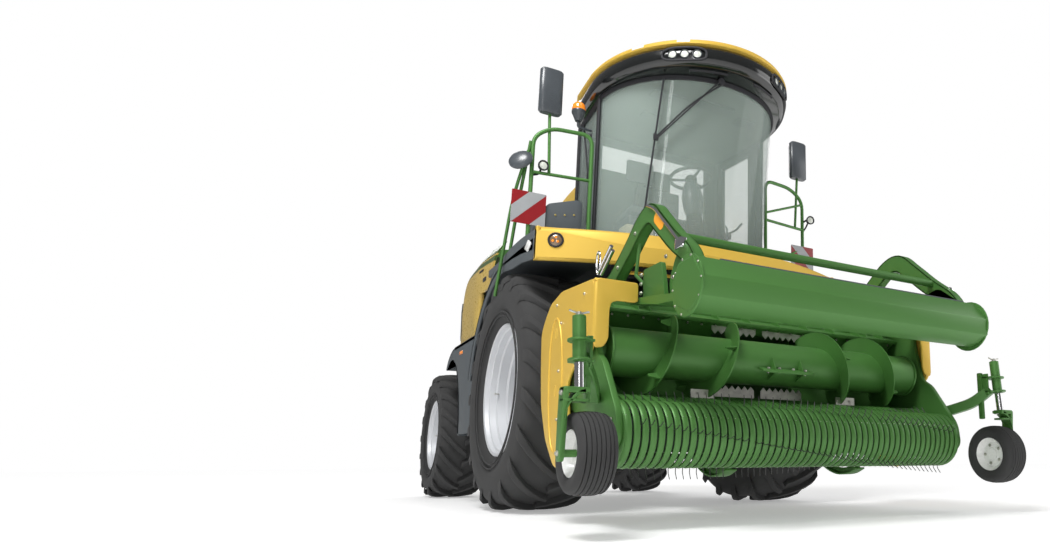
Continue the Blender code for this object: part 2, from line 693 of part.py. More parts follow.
def rear_body():
    rings = []
    for y, half, low, high in ((PANEL_REAR_Y + GAP, 1.12, 1.58, 2.60), (3.75, 1.04, 1.58, 2.56),
                               (3.98, 0.95, 1.60, 2.42), (4.06, 0.88, 1.70, 2.28)):
        cut = 0.16
        section = [(-half, low + GAP), (half, low + GAP), (half, high - 2 * cut),
                   (half - 0.10, high - cut / 2), (half - 0.3, high), (-half + 0.3, high),
                   (-half + 0.10, high - cut / 2), (-half, high - 2 * cut)]
        rings.append([(x, y, z) for x, z in section])
    make("rear_body", [loft(rings)], "yellow_paint")


def rear_fenders():
    """Guards between the front and rear wheels, their arches clear of the steered wheel."""
    for name, side in SIDES:
        front = 1.12 if side < 0 else 1.55
        top = PANEL_BOTTOM - GAP
        arch = [(2.12, top - 0.05), (1.95, 1.44), (1.76, 1.18), (1.66, 0.90), (1.62, 0.67)]
        face = [(front, 0.67), (front, top), (2.12, top)] + arch
        lip = arch + [(y - 0.035, z - 0.01) for y, z in reversed(arch)]
        shapes = [slab(face, "X", *mirrored(1.38, 1.42, side)),
                  slab(lip, "X", *mirrored(1.00, 1.42, side))]
        low, high = mirrored(0.95, 1.42, side)
        shapes.append(block((low, front, 1.58 + GAP), (high, 2.12, top)))
        make("rear_fender_" + name, shapes, "dark_plastic")


# ---- intake and lift ----
def intake():
    shell = block((-INTAKE_HALF, INTAKE_FRONT_Y, INTAKE_BOTTOM), (INTAKE_HALF, INTAKE_BACK_Y, INTAKE_TOP))
    inner = INTAKE_HALF - INTAKE_WALL
    duct = block((-inner, INTAKE_FRONT_Y - 0.1, INTAKE_BOTTOM + INTAKE_WALL),
                 (inner, INTAKE_BACK_Y + 0.1, INTAKE_TOP - INTAKE_WALL))
    cuts = [duct]
    shapes = [shell]
    ends = []
    for _, side in SIDES:
        ear = mirrored(INTAKE_HALF - 0.03, INTAKE_HALF + 0.02, side)
        boss = mirrored(INTAKE_HALF, PLATE_X - GAP, side)
        ends.append(bar((INTAKE_BACK_Y - 0.12, LIFT_PIVOT[1]), LIFT_PIVOT, 0.15, *ear))
        ends.append(disc(LIFT_PIVOT, 0.05, *boss))
        lug = mirrored(CYLINDER_LUG_X, CYLINDER_LUG_X + 0.03, side)
        y, z = CYLINDER_EYE
        shapes.append(block((lug[0], y - 0.05, z - 0.05), (lug[1], y + 0.05, INTAKE_BOTTOM + 0.01)))
    make("intake_housing", shapes + ends, "green_paint", cuts=cuts, pivot=(0, *LIFT_PIVOT))


def lift_cylinders():
    base = Vector((0, *CYLINDER_BASE))
    eye = Vector((0, *CYLINDER_EYE))
    along = (eye - base).normalized()
    length = (eye - base).length
    barrel = [(0.0, -0.045), (0.052, -0.045), (0.052, 0.60), (0.0308, 0.60), (0.0308, 0.05), (0.0, 0.05)]
    piston = [(0.0, 0.12), (0.030, 0.12), (0.030, length), (0.0, length)]
    pin = CYLINDER_LUG_X - GAP
    barrels = [disc(CYLINDER_BASE, 0.028, -pin, pin, 12)]
    rods = [disc(CYLINDER_EYE, 0.022, -pin, pin, 12)]
    for _, side in SIDES:
        shift = Vector((side * CYLINDER_X, 0, 0))
        barrels.append(turned(barrel, base + shift, along, 16))
        rods.append(turned(piston, base + shift, along, 16))
        rods.append(disc(CYLINDER_EYE, 0.045, *mirrored(CYLINDER_X - 0.03, CYLINDER_X + 0.03, side), 14))
    make("lift_cylinders", barrels, "chassis_paint", pivot=base)
    make("lift_rods", rods, "chrome_rod", pivot=eye)


# ---- header ----
def arc_points(centre, radius, start, stop, count):
    """Points on an arc in the fore-and-aft plane, angles in degrees from the rear."""
    y, z = centre
    angles = [math.radians(start + (stop - start) * i / count) for i in range(count + 1)]
    return [(y + radius * math.cos(a), z + radius * math.sin(a)) for a in angles]


def header_frame():
    half = HEADER_HALF
    inner = half - HEADER_PLATE
    trough = (arc_points(AUGER_AXIS, 0.335, -118, 62, 10)
              + arc_points(AUGER_AXIS, 0.310, 62, -118, 10))
    lip = [(-2.19, 0.735), (-2.10, 0.772), (-2.09, 0.80), (-2.115, 0.81), (-2.205, 0.76)]
    shapes = [slab(trough, "X", -half, half), slab(lip, "X", -inner - 0.01, inner + 0.01)]
    shapes.append(slab([(-1.83, 1.36), (-1.64, 1.43), (-1.65, 1.46), (-1.85, 1.385)], "X", -half, half))
    shapes.append(block((-half, -1.72, 1.385), (half, -1.58, 1.50)))
    shapes.append(block((-half, -1.76, 0.60), (half, -1.64, 0.72)))
    plate = [(-1.58, 0.58), (-1.58, 1.50), (-2.03, 1.50), (-2.04, 1.32), (-2.11, 1.03),
             (-2.20, 0.98), (-2.44, 0.66), (-2.46, 0.50), (-2.32, 0.40), (-2.10, 0.42), (-1.75, 0.50)]
    back = INTAKE_FRONT_Y - GAP
    for _, side in SIDES:
        shapes.append(slab(plate, "X", *mirrored(inner, half, side)))
        post = mirrored(0.40, 0.48, side)
        shapes.append(block((post[0], -1.64, 0.61), (post[1], back, 1.49)))
        ear = [(-1.71, 1.45), (-1.58, 1.45), (-1.38, 1.58), (-1.42, 1.66), (-1.52, 1.65), (-1.71, 1.52)]
        arm_out = PRESS_ARM_X + PRESS_ARM_THICK + GAP
        shapes.append(slab(ear, "X", *mirrored(arm_out, arm_out + 0.05, side)))
        route = [(half - 0.015, -1.99, 0.785), (half + 0.05, -2.22, 0.755), (half + 0.165, -2.46, 0.825),
                 (half + 0.245, -2.545, 0.93)]
        arm = [(side * x, y, z) for x, y, z in route]
        shapes.append(pipe(arm, 0.045, 6))
        low, high = Vector(CASTER_LOW), Vector(CASTER_TOP)
        low.x, high.x = side * low.x, side * high.x
        shapes.append(rod(low, high, 0.036, 10))
        web = [(-2.66, 0.905), (-2.66, 0.925), (-2.49, 0.925), (-2.49, 0.905)]
        collar = mirrored(half + 0.20, half + 0.32, side)
        shapes.append(slab(web, "X", *collar))
        shapes.append(slab([(y + 0.012, z + 0.11) for y, z in web], "X", *collar))
        cheek = mirrored(half + 0.20, half + 0.23, side)
        shapes.append(block((cheek[0], -2.575, 0.88), (cheek[1], -2.49, 1.05)))
        skid = [(-2.30, 0.325), (-2.30, 0.30), (-1.95, 0.27), (-1.66, 0.42), (-1.66, 0.61), (-1.76, 0.61),
                (-1.78, 0.50), (-1.95, 0.33)]
        shapes.append(slab(skid, "X", *mirrored(0.52, 0.56, side)))
    shapes.append(block((-0.48, -1.66, 0.80), (0.48, back, 0.862)))
    shapes.append(block((-0.48, -1.66, 1.335), (0.48, back, 1.40)))
    window = block((-0.38, -1.85, 0.86), (0.38, -1.50, 1.335))
    make("header_frame", shapes, "green_paint", cuts=[window], pivot=(0, *LIFT_PIVOT))


def header_shields():
    side_shape = [(-2.083, 1.492), (-1.524, 1.525), (-1.30, 1.475), (-1.19, 1.38), (-1.118, 1.288),
                  (-1.15, 1.02), (-1.2, 0.767), (-1.328, 0.536), (-1.523, 0.358), (-1.75, 0.33),
                  (-1.80, 0.50), (-1.71, 0.88), (-1.80, 0.97), (-2.11, 1.03), (-2.15, 1.10), (-2.15, 1.44)]
    low_x, high_x = HEADER_HALF + GAP, HEADER_HALF + 0.045
    for name, side in SIDES:
        shapes = [slab(side_shape, "X", *mirrored(low_x, high_x, side))]
        beak = mirrored(HEADER_HALF - 0.24, high_x, side)
        shapes.append(block((beak[0], -2.15, 1.36), (beak[1], -2.05 - GAP, 1.492), 0.015))
        column = mirrored(HEADER_HALF - 0.055, high_x, side)
        shapes.append(block((column[0], -2.15, 1.06), (column[1], -2.125, 1.48)))
        make("header_shield_" + name, shapes, "yellow_paint", pivot=(0, *LIFT_PIVOT))


def pickup():
    inner = HEADER_HALF - HEADER_PLATE - GAP
    wall = 0.018
    band = (arc_points(PICKUP_AXIS, PICKUP_RADIUS, 40, 300, 18)
            + arc_points(PICKUP_AXIS, PICKUP_RADIUS - wall, 300, 40, 18))
    shapes = [slab(band, "X", -inner, inner)]
    make("pickup_bands", shapes, "green_paint", pivot=(0, *PICKUP_AXIS))
    core = 0.055
    reel = [disc(PICKUP_AXIS, core, 0.07 - HEADER_HALF, HEADER_HALF - 0.07, 12)]
    bars = HEADER_HALF - 0.10
    outer = HEADER_HALF - 0.11      # middle of the last spider
    for k in range(5):
        x = outer * (k / 2 - 1)
        reel.append(disc(PICKUP_AXIS, 0.145, x - 0.006, x + 0.006, 12))
    reel.append(disc(PICKUP_AXIS, 0.03, -inner, inner, 12))
    for k in range(4):
        angle = math.tau * k / 4 + math.radians(30)
        spot = (PICKUP_AXIS[0] + 0.12 * math.cos(angle), PICKUP_AXIS[1] + 0.12 * math.sin(angle))
        reel.append(disc(spot, 0.014, -bars, bars, 4))
    make("pickup_reel", reel, "chassis_paint", pivot=(0, *PICKUP_AXIS))


def flight(side, turns, pitch, thick, steps):
    """One hand of auger flighting, running in from the outer end."""
    y, z = AUGER_AXIS
    start = math.radians(54.8)
    rings = []
    count = int(turns * steps)
    for i in range(count + 1):
        angle = start - math.tau * i / steps
        x = HEADER_HALF - 0.16 - pitch * i / steps
        ring = []
        for radius, offset in ((AUGER_TUBE - 0.02, -thick), (AUGER_FLIGHT, -thick), (AUGER_FLIGHT, thick),
                               (AUGER_TUBE - 0.02, thick)):
            ring.append((side * (x + offset), y + radius * math.cos(angle), z + radius * math.sin(angle)))
        rings.append(ring)
    return loft(rings)


def auger():
    inner = HEADER_HALF - HEADER_PLATE - GAP
    tube = HEADER_HALF - 0.10
    shapes = [disc(AUGER_AXIS, AUGER_TUBE, -tube, tube, 20), disc(AUGER_AXIS, 0.06, -inner, inner, 12)]
    for _, side in SIDES:
        shapes.append(flight(side, 2.0, 0.46, 0.007, 16))
    y, z = AUGER_AXIS
    for k in range(2):
        turn = math.radians(200 + 180 * k)
        out, across = Vector((math.cos(turn), math.sin(turn))), Vector((-math.sin(turn), math.cos(turn)))
        corners = [out * 0.14 - across * 0.01, out * 0.235 - across * 0.01,
                   out * 0.235 + across * 0.01, out * 0.14 + across * 0.01]
        outline = [(y + c.x, z + c.y) for c in corners]
        shapes.append(slab(outline, "X", -0.22, 0.22))
    make("auger", shapes, "green_paint", pivot=(0, *AUGER_AXIS))


def crop_press():
    """Swinging guard ahead of the auger: two bent arms, a tube between them and a faceted hood."""
    apex, knee, hang = (-2.22, 1.93), (-2.76, 1.54), (-2.72, 1.36)
    hood = [(-2.868, 1.502), (-2.974, 1.369), (-2.962, 1.259), (-2.89, 1.211), (-2.811, 1.19),
            (-2.68, 1.25), (-2.63, 1.39), (-2.70, 1.49)]
    shapes = [slab(hood, "X", -1.165, 1.165)]
    for _, side in SIDES:
        arm = mirrored(PRESS_ARM_X, PRESS_ARM_X + PRESS_ARM_THICK, side)
        shapes.append(bar(PRESS_PIVOT, apex, 0.10, *arm))
        shapes.append(bar(apex, knee, 0.10, *arm))
        shapes.append(bar(knee, hang, 0.12, *arm))
    shapes.append(disc((-2.55, 1.705), 0.0275, -1.10, 1.10, 10))
    make("crop_press", shapes, "green_paint", pivot=(0, *PRESS_PIVOT))


def casters():
    """Castering gauge wheels: stem, one-sided fork and wheel."""
    low, high = Vector(CASTER_LOW), Vector(CASTER_TOP)
    axis = (high - low).normalized()
    wx, wy, wz = GAUGE_WHEEL
    hub_half = GAUGE_TYRE_WIDTH / 2 - 0.001
    for name, side in SIDES:
        def place(point):
            return (side * point[0], point[1], point[2])
        head = low - axis * GAP
        foot = low - axis * 0.16
        shapes = [rod(place(head), place(foot), 0.026, 12)]
        cap = mirrored(HEADER_HALF + 0.24, HEADER_HALF + 0.375, side)
        shapes.append(block((cap[0], -2.665, 0.69), (cap[1], -2.585, 0.765)))
        leg = mirrored(HEADER_HALF + 0.345, HEADER_HALF + 0.375, side)
        shapes.append(block((leg[0], wy - 0.035, wz - 0.04), (leg[1], wy + 0.035, 0.765)))
        axle = mirrored(wx + hub_half + GAP, HEADER_HALF + 0.35, side)
        shapes.append(disc((wy, wz), 0.02, *axle, 12))
        make("caster_" + name, shapes, "green_paint", pivot=place(CASTER_LOW))
        half = GAUGE_TYRE_WIDTH / 2
        profile = [(0.0, -hub_half), (0.05, -hub_half), (0.055, -0.05), (0.11, -half * 0.8), (0.17, -half),
                   (GAUGE_TYRE_RADIUS, -half * 0.6)]
        profile += [(r, -a) for r, a in reversed(profile)]
        centre = place(GAUGE_WHEEL)
        make("gauge_wheel_" + name, [turned(profile, centre, (1, 0, 0), 22)], "tyre_rubber", pivot=centre)


# ---- discharge spout ----
def spout_frame(i):
    """Direction of the duct and the direction to its upper side at path point i."""
    path = [Vector((0, *p)) for p in SPOUT_PATH]
    before = path[max(i - 1, 0)]
    after = path[min(i + 1, len(path) - 1)]
    along = (after - before).normalized()
    if i == 0:
        along = Vector((0, 0, 1))
    up = Vector((1, 0, 0)).cross(along)
    return path[i], along, up


def duct_ring(i, inset, stretch=0.0):
    centre, along, up = spout_frame(i)
    half, depth = SPOUT_HALF - inset, SPOUT_DEPTH / 2 - inset
    centre = centre + along * stretch
    return [centre + Vector((sx * half, 0, 0)) + up * (sz * depth)
            for sx, sz in ((-1, -1), (1, -1), (1, 1), (-1, 1))]


def spout():
    pivot = (0, TURRET_Y, TURRET_Z)
    z0 = TURRET_Z
    cup = [(0.27, 0.0), (0.27, 0.05), (0.235, 0.06), (0.235, 0.36), (0.215, 0.36), (0.215, 0.0)]
    shapes = [turned(cup, pivot, (0, 0, 1), 20)]
    for _, side in SIDES:
        ear = mirrored(SPOUT_HALF + 0.0203, SPOUT_HALF + 0.04, side)
        shapes.append(bar((TURRET_Y, z0 + 0.20), SPOUT_PIVOT, 0.10, *ear))
        lug = mirrored(0.05, 0.075, side)
        y, z = SPOUT_CYLINDER_BASE
        shapes.append(block((lug[0], TURRET_Y + 0.20, z - 0.05), (lug[1], y + 0.04, z + 0.04)))
    make("spout_turret", shapes, "yellow_paint", pivot=pivot)

    last = len(SPOUT_PATH) - 1
    outer = loft([duct_ring(i, 0.0) for i in range(last + 1)])
    inner = loft([duct_ring(i, SPOUT_WALL, {0: -0.02, last: 0.02}.get(i, 0.0)) for i in range(last + 1)])
    shapes = [outer]
    for _, side in SIDES:
        knob = mirrored(SPOUT_HALF - 0.01, SPOUT_HALF + 0.02, side)
        shapes.append(bar((SPOUT_PIVOT[0] + 0.14, SPOUT_PIVOT[1] + 0.10), SPOUT_PIVOT, 0.09, *knob))
        lug = mirrored(0.028, 0.05, side)
        y, z = SPOUT_CYLINDER_EYE
        shapes.append(block((lug[0], y - 0.035, z - 0.035), (lug[1], y + 0.035, z + 0.13)))
    make("spout_chute", shapes, "yellow_paint", cuts=[inner], pivot=(0, *SPOUT_PIVOT))

    centre, along, up = spout_frame(last)
    hinge = centre + up * (SPOUT_DEPTH / 2)
    knuckle = hinge + along * 0.0124 - up * 0.012
    start = knuckle + up * 0.012
    rings = []
    for reach in (0.0, FLAP_LENGTH):
        spot = start + along * reach
        rings.append([spot + Vector((sx * SPOUT_HALF, 0, 0)) + up * lift - up * 0.02
                      for sx, lift in ((-1, 0.0), (1, 0.0), (1, 0.02), (-1, 0.02))])
    flap = [loft(rings)]
    for _, side in SIDES:
        cheek = []
        x0, x1 = mirrored(SPOUT_HALF - 0.02, SPOUT_HALF, side)
        for reach, drop in ((0.02, 0.018), (0.02, 0.0), (FLAP_LENGTH, 0.0), (FLAP_LENGTH, 0.16),
                            (0.16, 0.12)):
            point = start + along * reach - up * drop
            cheek.append((point.y, point.z))
        flap.append(slab(cheek, "X", x0, x1))
    flap.append(rod((-0.19, knuckle.y, knuckle.z), (0.19, knuckle.y, knuckle.z), 0.012, 16))
    make("spout_flap", flap, "yellow_paint", pivot=knuckle)

    base, eye = Vector((0, *SPOUT_CYLINDER_BASE)), Vector((0, *SPOUT_CYLINDER_EYE))
    along = (eye - base).normalized()
    length = (eye - base).length
    barrel = [(0.0, -0.03), (0.04, -0.03), (0.04, 0.56), (0.0205, 0.56), (0.0205, 0.04), (0.0, 0.04)]
    piston = [(0.0, 0.08), (0.020, 0.08), (0.020, length), (0.0, length)]
    half = 0.05 - GAP
    pin = disc(SPOUT_CYLINDER_BASE, 0.02, -half, half, 10)
    make("spout_cylinder", [turned(barrel, base, along, 14), pin], "chassis_paint", pivot=base)
    half = 0.028 - GAP
    make("spout_rod", [turned(piston, base, along, 14), disc(SPOUT_CYLINDER_EYE, 0.026, -half, half, 12)],
         "chrome_rod", pivot=eye)


def main():
    for old in list(bpy.data.objects):
        bpy.data.objects.remove(old)
    machine = bpy.data.objects.new("machine", None)
    machine.location = (0, -AXLE_TO_MIDDLE, 0)
    bpy.context.scene.collection.objects.link(machine)
    main_frame()
    front_axle()
    rear_axle()
    knuckles()
    road_wheels()
    engine()
    chopper_housing()
    platform()
    ladder()
    front_bumper()
    front_fenders()
    cab()
    cab_door()
    cab_roof()
    cab_inside()
    handrails()
    side_panels()
    hood()
    rear_body()
    rear_fenders()
    intake()
    lift_cylinders()
    header_frame()
    header_shields()
    pickup()
    auger()
    crop_press()
    casters()
    spout()


main()
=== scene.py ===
"""Forage harvester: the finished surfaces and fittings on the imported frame.

Shapes are given in metres from the point on the ground under the front axle, with the machine
facing -Y and its right-hand side at -X. place() moves such a point into the frame's own space.
"""
import json
import math

import bmesh
import bpy
from bpy.props import FloatProperty, FloatVectorProperty, IntProperty, PointerProperty
from mathutils import Matrix, Vector, noise


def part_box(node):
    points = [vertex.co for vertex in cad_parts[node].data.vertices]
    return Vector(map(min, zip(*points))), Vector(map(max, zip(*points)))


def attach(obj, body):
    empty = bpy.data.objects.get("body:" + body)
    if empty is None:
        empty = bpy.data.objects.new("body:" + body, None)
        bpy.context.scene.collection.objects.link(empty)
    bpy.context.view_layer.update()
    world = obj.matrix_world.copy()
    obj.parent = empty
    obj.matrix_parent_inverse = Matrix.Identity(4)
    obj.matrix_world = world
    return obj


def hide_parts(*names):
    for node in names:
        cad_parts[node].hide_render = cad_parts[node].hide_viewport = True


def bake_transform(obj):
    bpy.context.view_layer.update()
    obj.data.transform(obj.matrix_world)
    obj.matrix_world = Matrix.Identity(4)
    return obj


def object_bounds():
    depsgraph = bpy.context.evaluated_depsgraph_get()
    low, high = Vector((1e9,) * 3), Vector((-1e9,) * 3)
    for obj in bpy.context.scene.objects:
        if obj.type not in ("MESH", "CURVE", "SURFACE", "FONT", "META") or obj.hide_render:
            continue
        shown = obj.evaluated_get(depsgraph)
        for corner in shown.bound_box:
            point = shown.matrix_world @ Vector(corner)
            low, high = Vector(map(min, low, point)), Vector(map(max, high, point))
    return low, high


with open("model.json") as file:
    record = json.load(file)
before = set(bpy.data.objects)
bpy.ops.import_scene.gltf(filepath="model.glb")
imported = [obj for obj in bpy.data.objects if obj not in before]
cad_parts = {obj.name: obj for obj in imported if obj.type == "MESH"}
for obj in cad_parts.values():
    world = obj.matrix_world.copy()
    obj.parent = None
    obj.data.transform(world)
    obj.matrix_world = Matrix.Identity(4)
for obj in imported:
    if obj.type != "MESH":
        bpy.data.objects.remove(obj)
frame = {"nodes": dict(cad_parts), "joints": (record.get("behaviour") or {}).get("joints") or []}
cad_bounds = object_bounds()

bl_info = {
    "name": "Forage harvester",
    "version": (1, 0, 0),
    "blender": (4, 5, 0),
    "location": "View3D > Sidebar > Harvester",
    "description": "Builds the finished forage harvester on its packed frame",
    "category": "Object",
}

JOINTS = {joint["name"]: joint for joint in frame["joints"]}
AXLE = Vector(JOINTS["front_wheel_spin_left"]["pos_m"])
SIDES = (("right", -1), ("left", 1))


def place(point):
    """A point measured from under the front axle, in the frame's own space."""
    return Vector(point) + Vector((0, AXLE.y, 0))


def pin(joint):
    """Where a joint turns, measured from under the front axle."""
    return Vector(JOINTS[joint]["pos_m"]) - Vector((0, AXLE.y, 0))


def cad(node):
    """The corners of a CAD node, measured from under the front axle."""
    low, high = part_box(node)
    shift = Vector((0, AXLE.y, 0))
    return low - shift, high - shift


# ---- sizes and colours that a user may change ----
def colour(name, default):
    return FloatVectorProperty(name=name, description=f"Base colour of the {name.lower()}",
                               default=default, size=3, min=0.0, max=1.0, subtype="COLOR")


class HarvesterColours(bpy.types.PropertyGroup):
    yellow: colour("Ochre yellow paint", (0.54, 0.375, 0.085))
    green: colour("Green paint", (0.053, 0.098, 0.018))
    guard: colour("Dark guards", (0.095, 0.108, 0.122))
    trim: colour("Black cab trim", (0.013, 0.013, 0.014))
    chassis: colour("Chassis paint", (0.05, 0.055, 0.055))
    rubber: colour("Tyre rubber", (0.020, 0.020, 0.019))
    silver: colour("Wheel silver", (0.22, 0.235, 0.25))
    glass: colour("Cab glass", (0.012, 0.040, 0.012))
    cloth: colour("Seat cloth", (0.045, 0.047, 0.052))


class HarvesterSizes(bpy.types.PropertyGroup):
    bands: IntProperty(name="Pickup bands", description="Curved bands across the pickup",
                       default=53, min=20, max=60)
    tine_reach: FloatProperty(name="Tine reach", description="Radius of the circle of tine tips",
                              default=0.27, min=0.22, max=0.30, unit="LENGTH")
    front_lugs: IntProperty(name="Front lugs", description="Tread bars on each side of a front tyre",
                            default=19, min=12, max=28)
    rear_lugs: IntProperty(name="Rear lugs", description="Tread bars on each side of a rear tyre",
                           default=18, min=12, max=28)
    tread_depth: FloatProperty(name="Tread depth", description="Height of the tread bars",
                               default=0.048, min=0.02, max=0.07, unit="LENGTH")
    rail_tube: FloatProperty(name="Rail tube", description="Radius of the handrail tube",
                             default=0.0175, min=0.01, max=0.03, unit="LENGTH")


class HarvesterStage(bpy.types.PropertyGroup):
    camera_x: FloatProperty(name="Camera x", description="Camera to the machine's left",
                            default=-2.974, unit="LENGTH")
    camera_y: FloatProperty(name="Camera y", description="Camera behind the front axle",
                            default=-6.272, unit="LENGTH")
    camera_z: FloatProperty(name="Camera height", description="Camera above the ground",
                            default=0.382, min=0.05, unit="LENGTH")
    yaw: FloatProperty(name="Yaw", description="Turn of the view from straight back to the left",
                       default=0.605, unit="ROTATION")
    pitch: FloatProperty(name="Pitch", description="Rise of the view", default=0.195, unit="ROTATION")
    roll: FloatProperty(name="Roll", description="Tilt of the view", default=-0.006, unit="ROTATION")
    lens: FloatProperty(name="Lens", description="Focal length in millimetres", default=24.78, min=5.0)


def colours():
    return bpy.context.scene.harvester_colours


def sizes():
    return bpy.context.scene.harvester_sizes


# ---- shapes: each returns a bmesh ----
def tidy(bm):
    bmesh.ops.recalc_face_normals(bm, faces=bm.faces[:])
    return bm


def softened(bm, width, steps=2, angle=28):
    """The shape with every edge sharper than angle rounded over by width."""
    sharp = [e for e in bm.edges if len(e.link_faces) == 2
             and e.calc_face_angle(0.0) > math.radians(angle)]
    bmesh.ops.bevel(bm, geom=sharp, offset=width, segments=steps, affect="EDGES", profile=0.5,
                    clamp_overlap=True)
    return bm


def block(low, high, bevel=0.004, steps=2):
    bm = bmesh.new()
    low, high = Vector(low), Vector(high)
    middle = Matrix.Translation((low + high) / 2) @ Matrix.Diagonal((*(high - low), 1.0))
    bmesh.ops.create_cube(bm, size=1.0, matrix=middle)
    return softened(tidy(bm), bevel, steps) if bevel else tidy(bm)


def loft(rings, closed=False, caps=True, ring_closed=True):
    """Skin through rings of equally many points."""
    bm = bmesh.new()
    rows = [[bm.verts.new(point) for point in ring] for ring in rings]
    count = len(rows[0])
    pairs = list(zip(rows, rows[1:]))
    if closed:
        pairs.append((rows[-1], rows[0]))
    for near, far in pairs:
        for i in range(count if ring_closed else count - 1):
            j = (i + 1) % count
            bm.faces.new((near[i], near[j], far[j], far[i]))
    if caps and not closed:
        bm.faces.new(rows[0])
        bm.faces.new(list(reversed(rows[-1])))
    return tidy(bm)


def slab(outline, axis, low, high, bevel=0.0, steps=2):
    """A flat outline given in the two other axes, extruded along axis."""
    def at(point, along):
        a, b = point
        return {"X": (along, a, b), "Y": (a, along, b), "Z": (a, b, along)}[axis]
    bm = loft([[at(p, low) for p in outline], [at(p, high) for p in outline]])
    return softened(bm, bevel, steps) if bevel else bm


def around(axis):
    axis = Vector(axis).normalized()
    helper = Vector((0, 0, 1)) if abs(axis.z) < 0.9 else Vector((0, 1, 0))
    first = axis.cross(helper).normalized()
    return first, axis.cross(first).normalized()


def circle(centre, axis, radius, sides, turn=0.0):
    first, second = around(axis)
    angles = [math.tau * i / sides + turn for i in range(sides)]
    return [Vector(centre) + radius * (math.cos(a) * first + math.sin(a) * second) for a in angles]


def rod(start, end, radius, sides=24, end_radius=None, bevel=0.0):
    axis = Vector(end) - Vector(start)
    far = radius if end_radius is None else end_radius
    bm = loft([circle(start, axis, radius, sides), circle(end, axis, far, sides)])
    return softened(bm, bevel, 2, 50) if bevel else bm


def turned(profile, centre, axis, steps=48):
    """A solid of revolution. The profile is (radius, distance along axis) and either starts and
    ends on the axis or closes on itself to make a ring."""
    first, second = around(axis)
    axis, centre = Vector(axis).normalized(), Vector(centre)
    core = profile[0][0] == 0.0
    bm = bmesh.new()
    poles = [bm.verts.new(centre + axis * profile[i][1]) for i in (0, -1)] if core else []
    bend = profile[1:-1] if core else profile
    columns = []
    for i in range(steps):
        angle = math.tau * i / steps
        out = math.cos(angle) * first + math.sin(angle) * second
        columns.append([bm.verts.new(centre + out * r + axis * a) for r, a in bend])
    for i in range(steps):
        here, there = columns[i], columns[(i + 1) % steps]
        for k in range(len(bend) - 1 if core else len(bend)):
            m = (k + 1) % len(bend)
            bm.faces.new((here[k], here[m], there[m], there[k]))
        if core:
            bm.faces.new((poles[0], here[0], there[0]))
            bm.faces.new((poles[1], there[-1], here[-1]))
    return tidy(bm)


def rounded_route(route, fillet, steps=5):
    """The route with each corner replaced by a curve that starts fillet away from it."""
    route = [Vector(p) for p in route]
    points = [route[0]]
    for before, corner, after in zip(route, route[1:], route[2:]):
        back, on = before - corner, after - corner
        reach = min(fillet, back.length * 0.48, on.length * 0.48)
        a, b = corner + back.normalized() * reach, corner + on.normalized() * reach
        for i in range(steps + 1):
            t = i / steps
            points.append(a * (1 - t) ** 2 + corner * 2 * t * (1 - t) + b * t ** 2)
    return points + [route[-1]]


def tube(route, radius, sides=12, fillet=0.0, section=None):
    """A tube along the route; section gives another outline as (across, up) pairs."""
    points = rounded_route(route, fillet) if fillet else [Vector(p) for p in route]
    clean = [points[0]]
    clean += [p for q, p in zip(points, points[1:]) if (p - q).length > 1e-5]
    points = clean
    first, second = around(points[1] - points[0])
    section = section or [(radius * math.cos(math.tau * i / sides), radius * math.sin(math.tau * i / sides))
                          for i in range(sides)]
    rings = []
    for i, point in enumerate(points):
        ahead = points[min(i + 1, len(points) - 1)] - points[max(i - 1, 0)]
        ahead.normalize()
        first = (first - ahead * first.dot(ahead)).normalized()
        second = ahead.cross(first)
        rings.append([point + first * a + second * b for a, b in section])
    return loft(rings)


def bar(start, end, width, x_low, x_high, bevel=0.004, steps=8):
    """A flat bar with round ends, standing fore-and-aft between two (y, z) points."""
    a, b = Vector(start), Vector(end)
    angle = math.atan2(b.y - a.y, b.x - a.x)
    outline = []
    for centre, base in ((b, -math.pi / 2), (a, math.pi / 2)):
        for i in range(steps + 1):
            turn = angle + base + math.pi * i / steps
            outline.append((centre.x + width / 2 * math.cos(turn), centre.y + width / 2 * math.sin(turn)))
    return slab(outline, "X", x_low, x_high, bevel)


def smooth_line(points, steps=6):
    """A curve through the points, with steps pieces between each pair."""
    points = [Vector(p) for p in points]
    ends = [points[0] * 2 - points[1]] + points + [points[-1] * 2 - points[-2]]
    made = []
    for p0, p1, p2, p3 in zip(ends, ends[1:], ends[2:], ends[3:]):
        for i in range(steps):
            t = i / steps
            made.append(0.5 * (2 * p1 + (p2 - p0) * t + (2 * p0 - 5 * p1 + 4 * p2 - p3) * t ** 2
                               + (3 * p1 - p0 - 3 * p2 + p3) * t ** 3))
    return made + [points[-1]]


def strip_outline(path, widths):
    """The outline of a flat strip that follows a (y, z) path with the given widths."""
    left, right = [], []
    for i, point in enumerate(path):
        ahead = (path[min(i + 1, len(path) - 1)] - path[max(i - 1, 0)]).normalized()
        across = Vector((-ahead.y, ahead.x)) * widths[i] / 2
        left.append(point + across)
        right.append(point - across)
    return [tuple(p) for p in left + right[::-1]]


def rounded_outline(corners, radius, steps=5):
    """A closed outline with its corners rounded off."""
    points = [Vector(c) for c in corners]
    made = []
    for i, corner in enumerate(points):
        before, after = points[i - 1] - corner, points[(i + 1) % len(points)] - corner
        reach = min(radius, before.length * 0.45, after.length * 0.45)
        a, b = corner + before.normalized() * reach, corner + after.normalized() * reach
        for k in range(steps + 1):
            t = k / steps
            made.append(tuple(a * (1 - t) ** 2 + corner * 2 * t * (1 - t) + b * t ** 2))
    return made


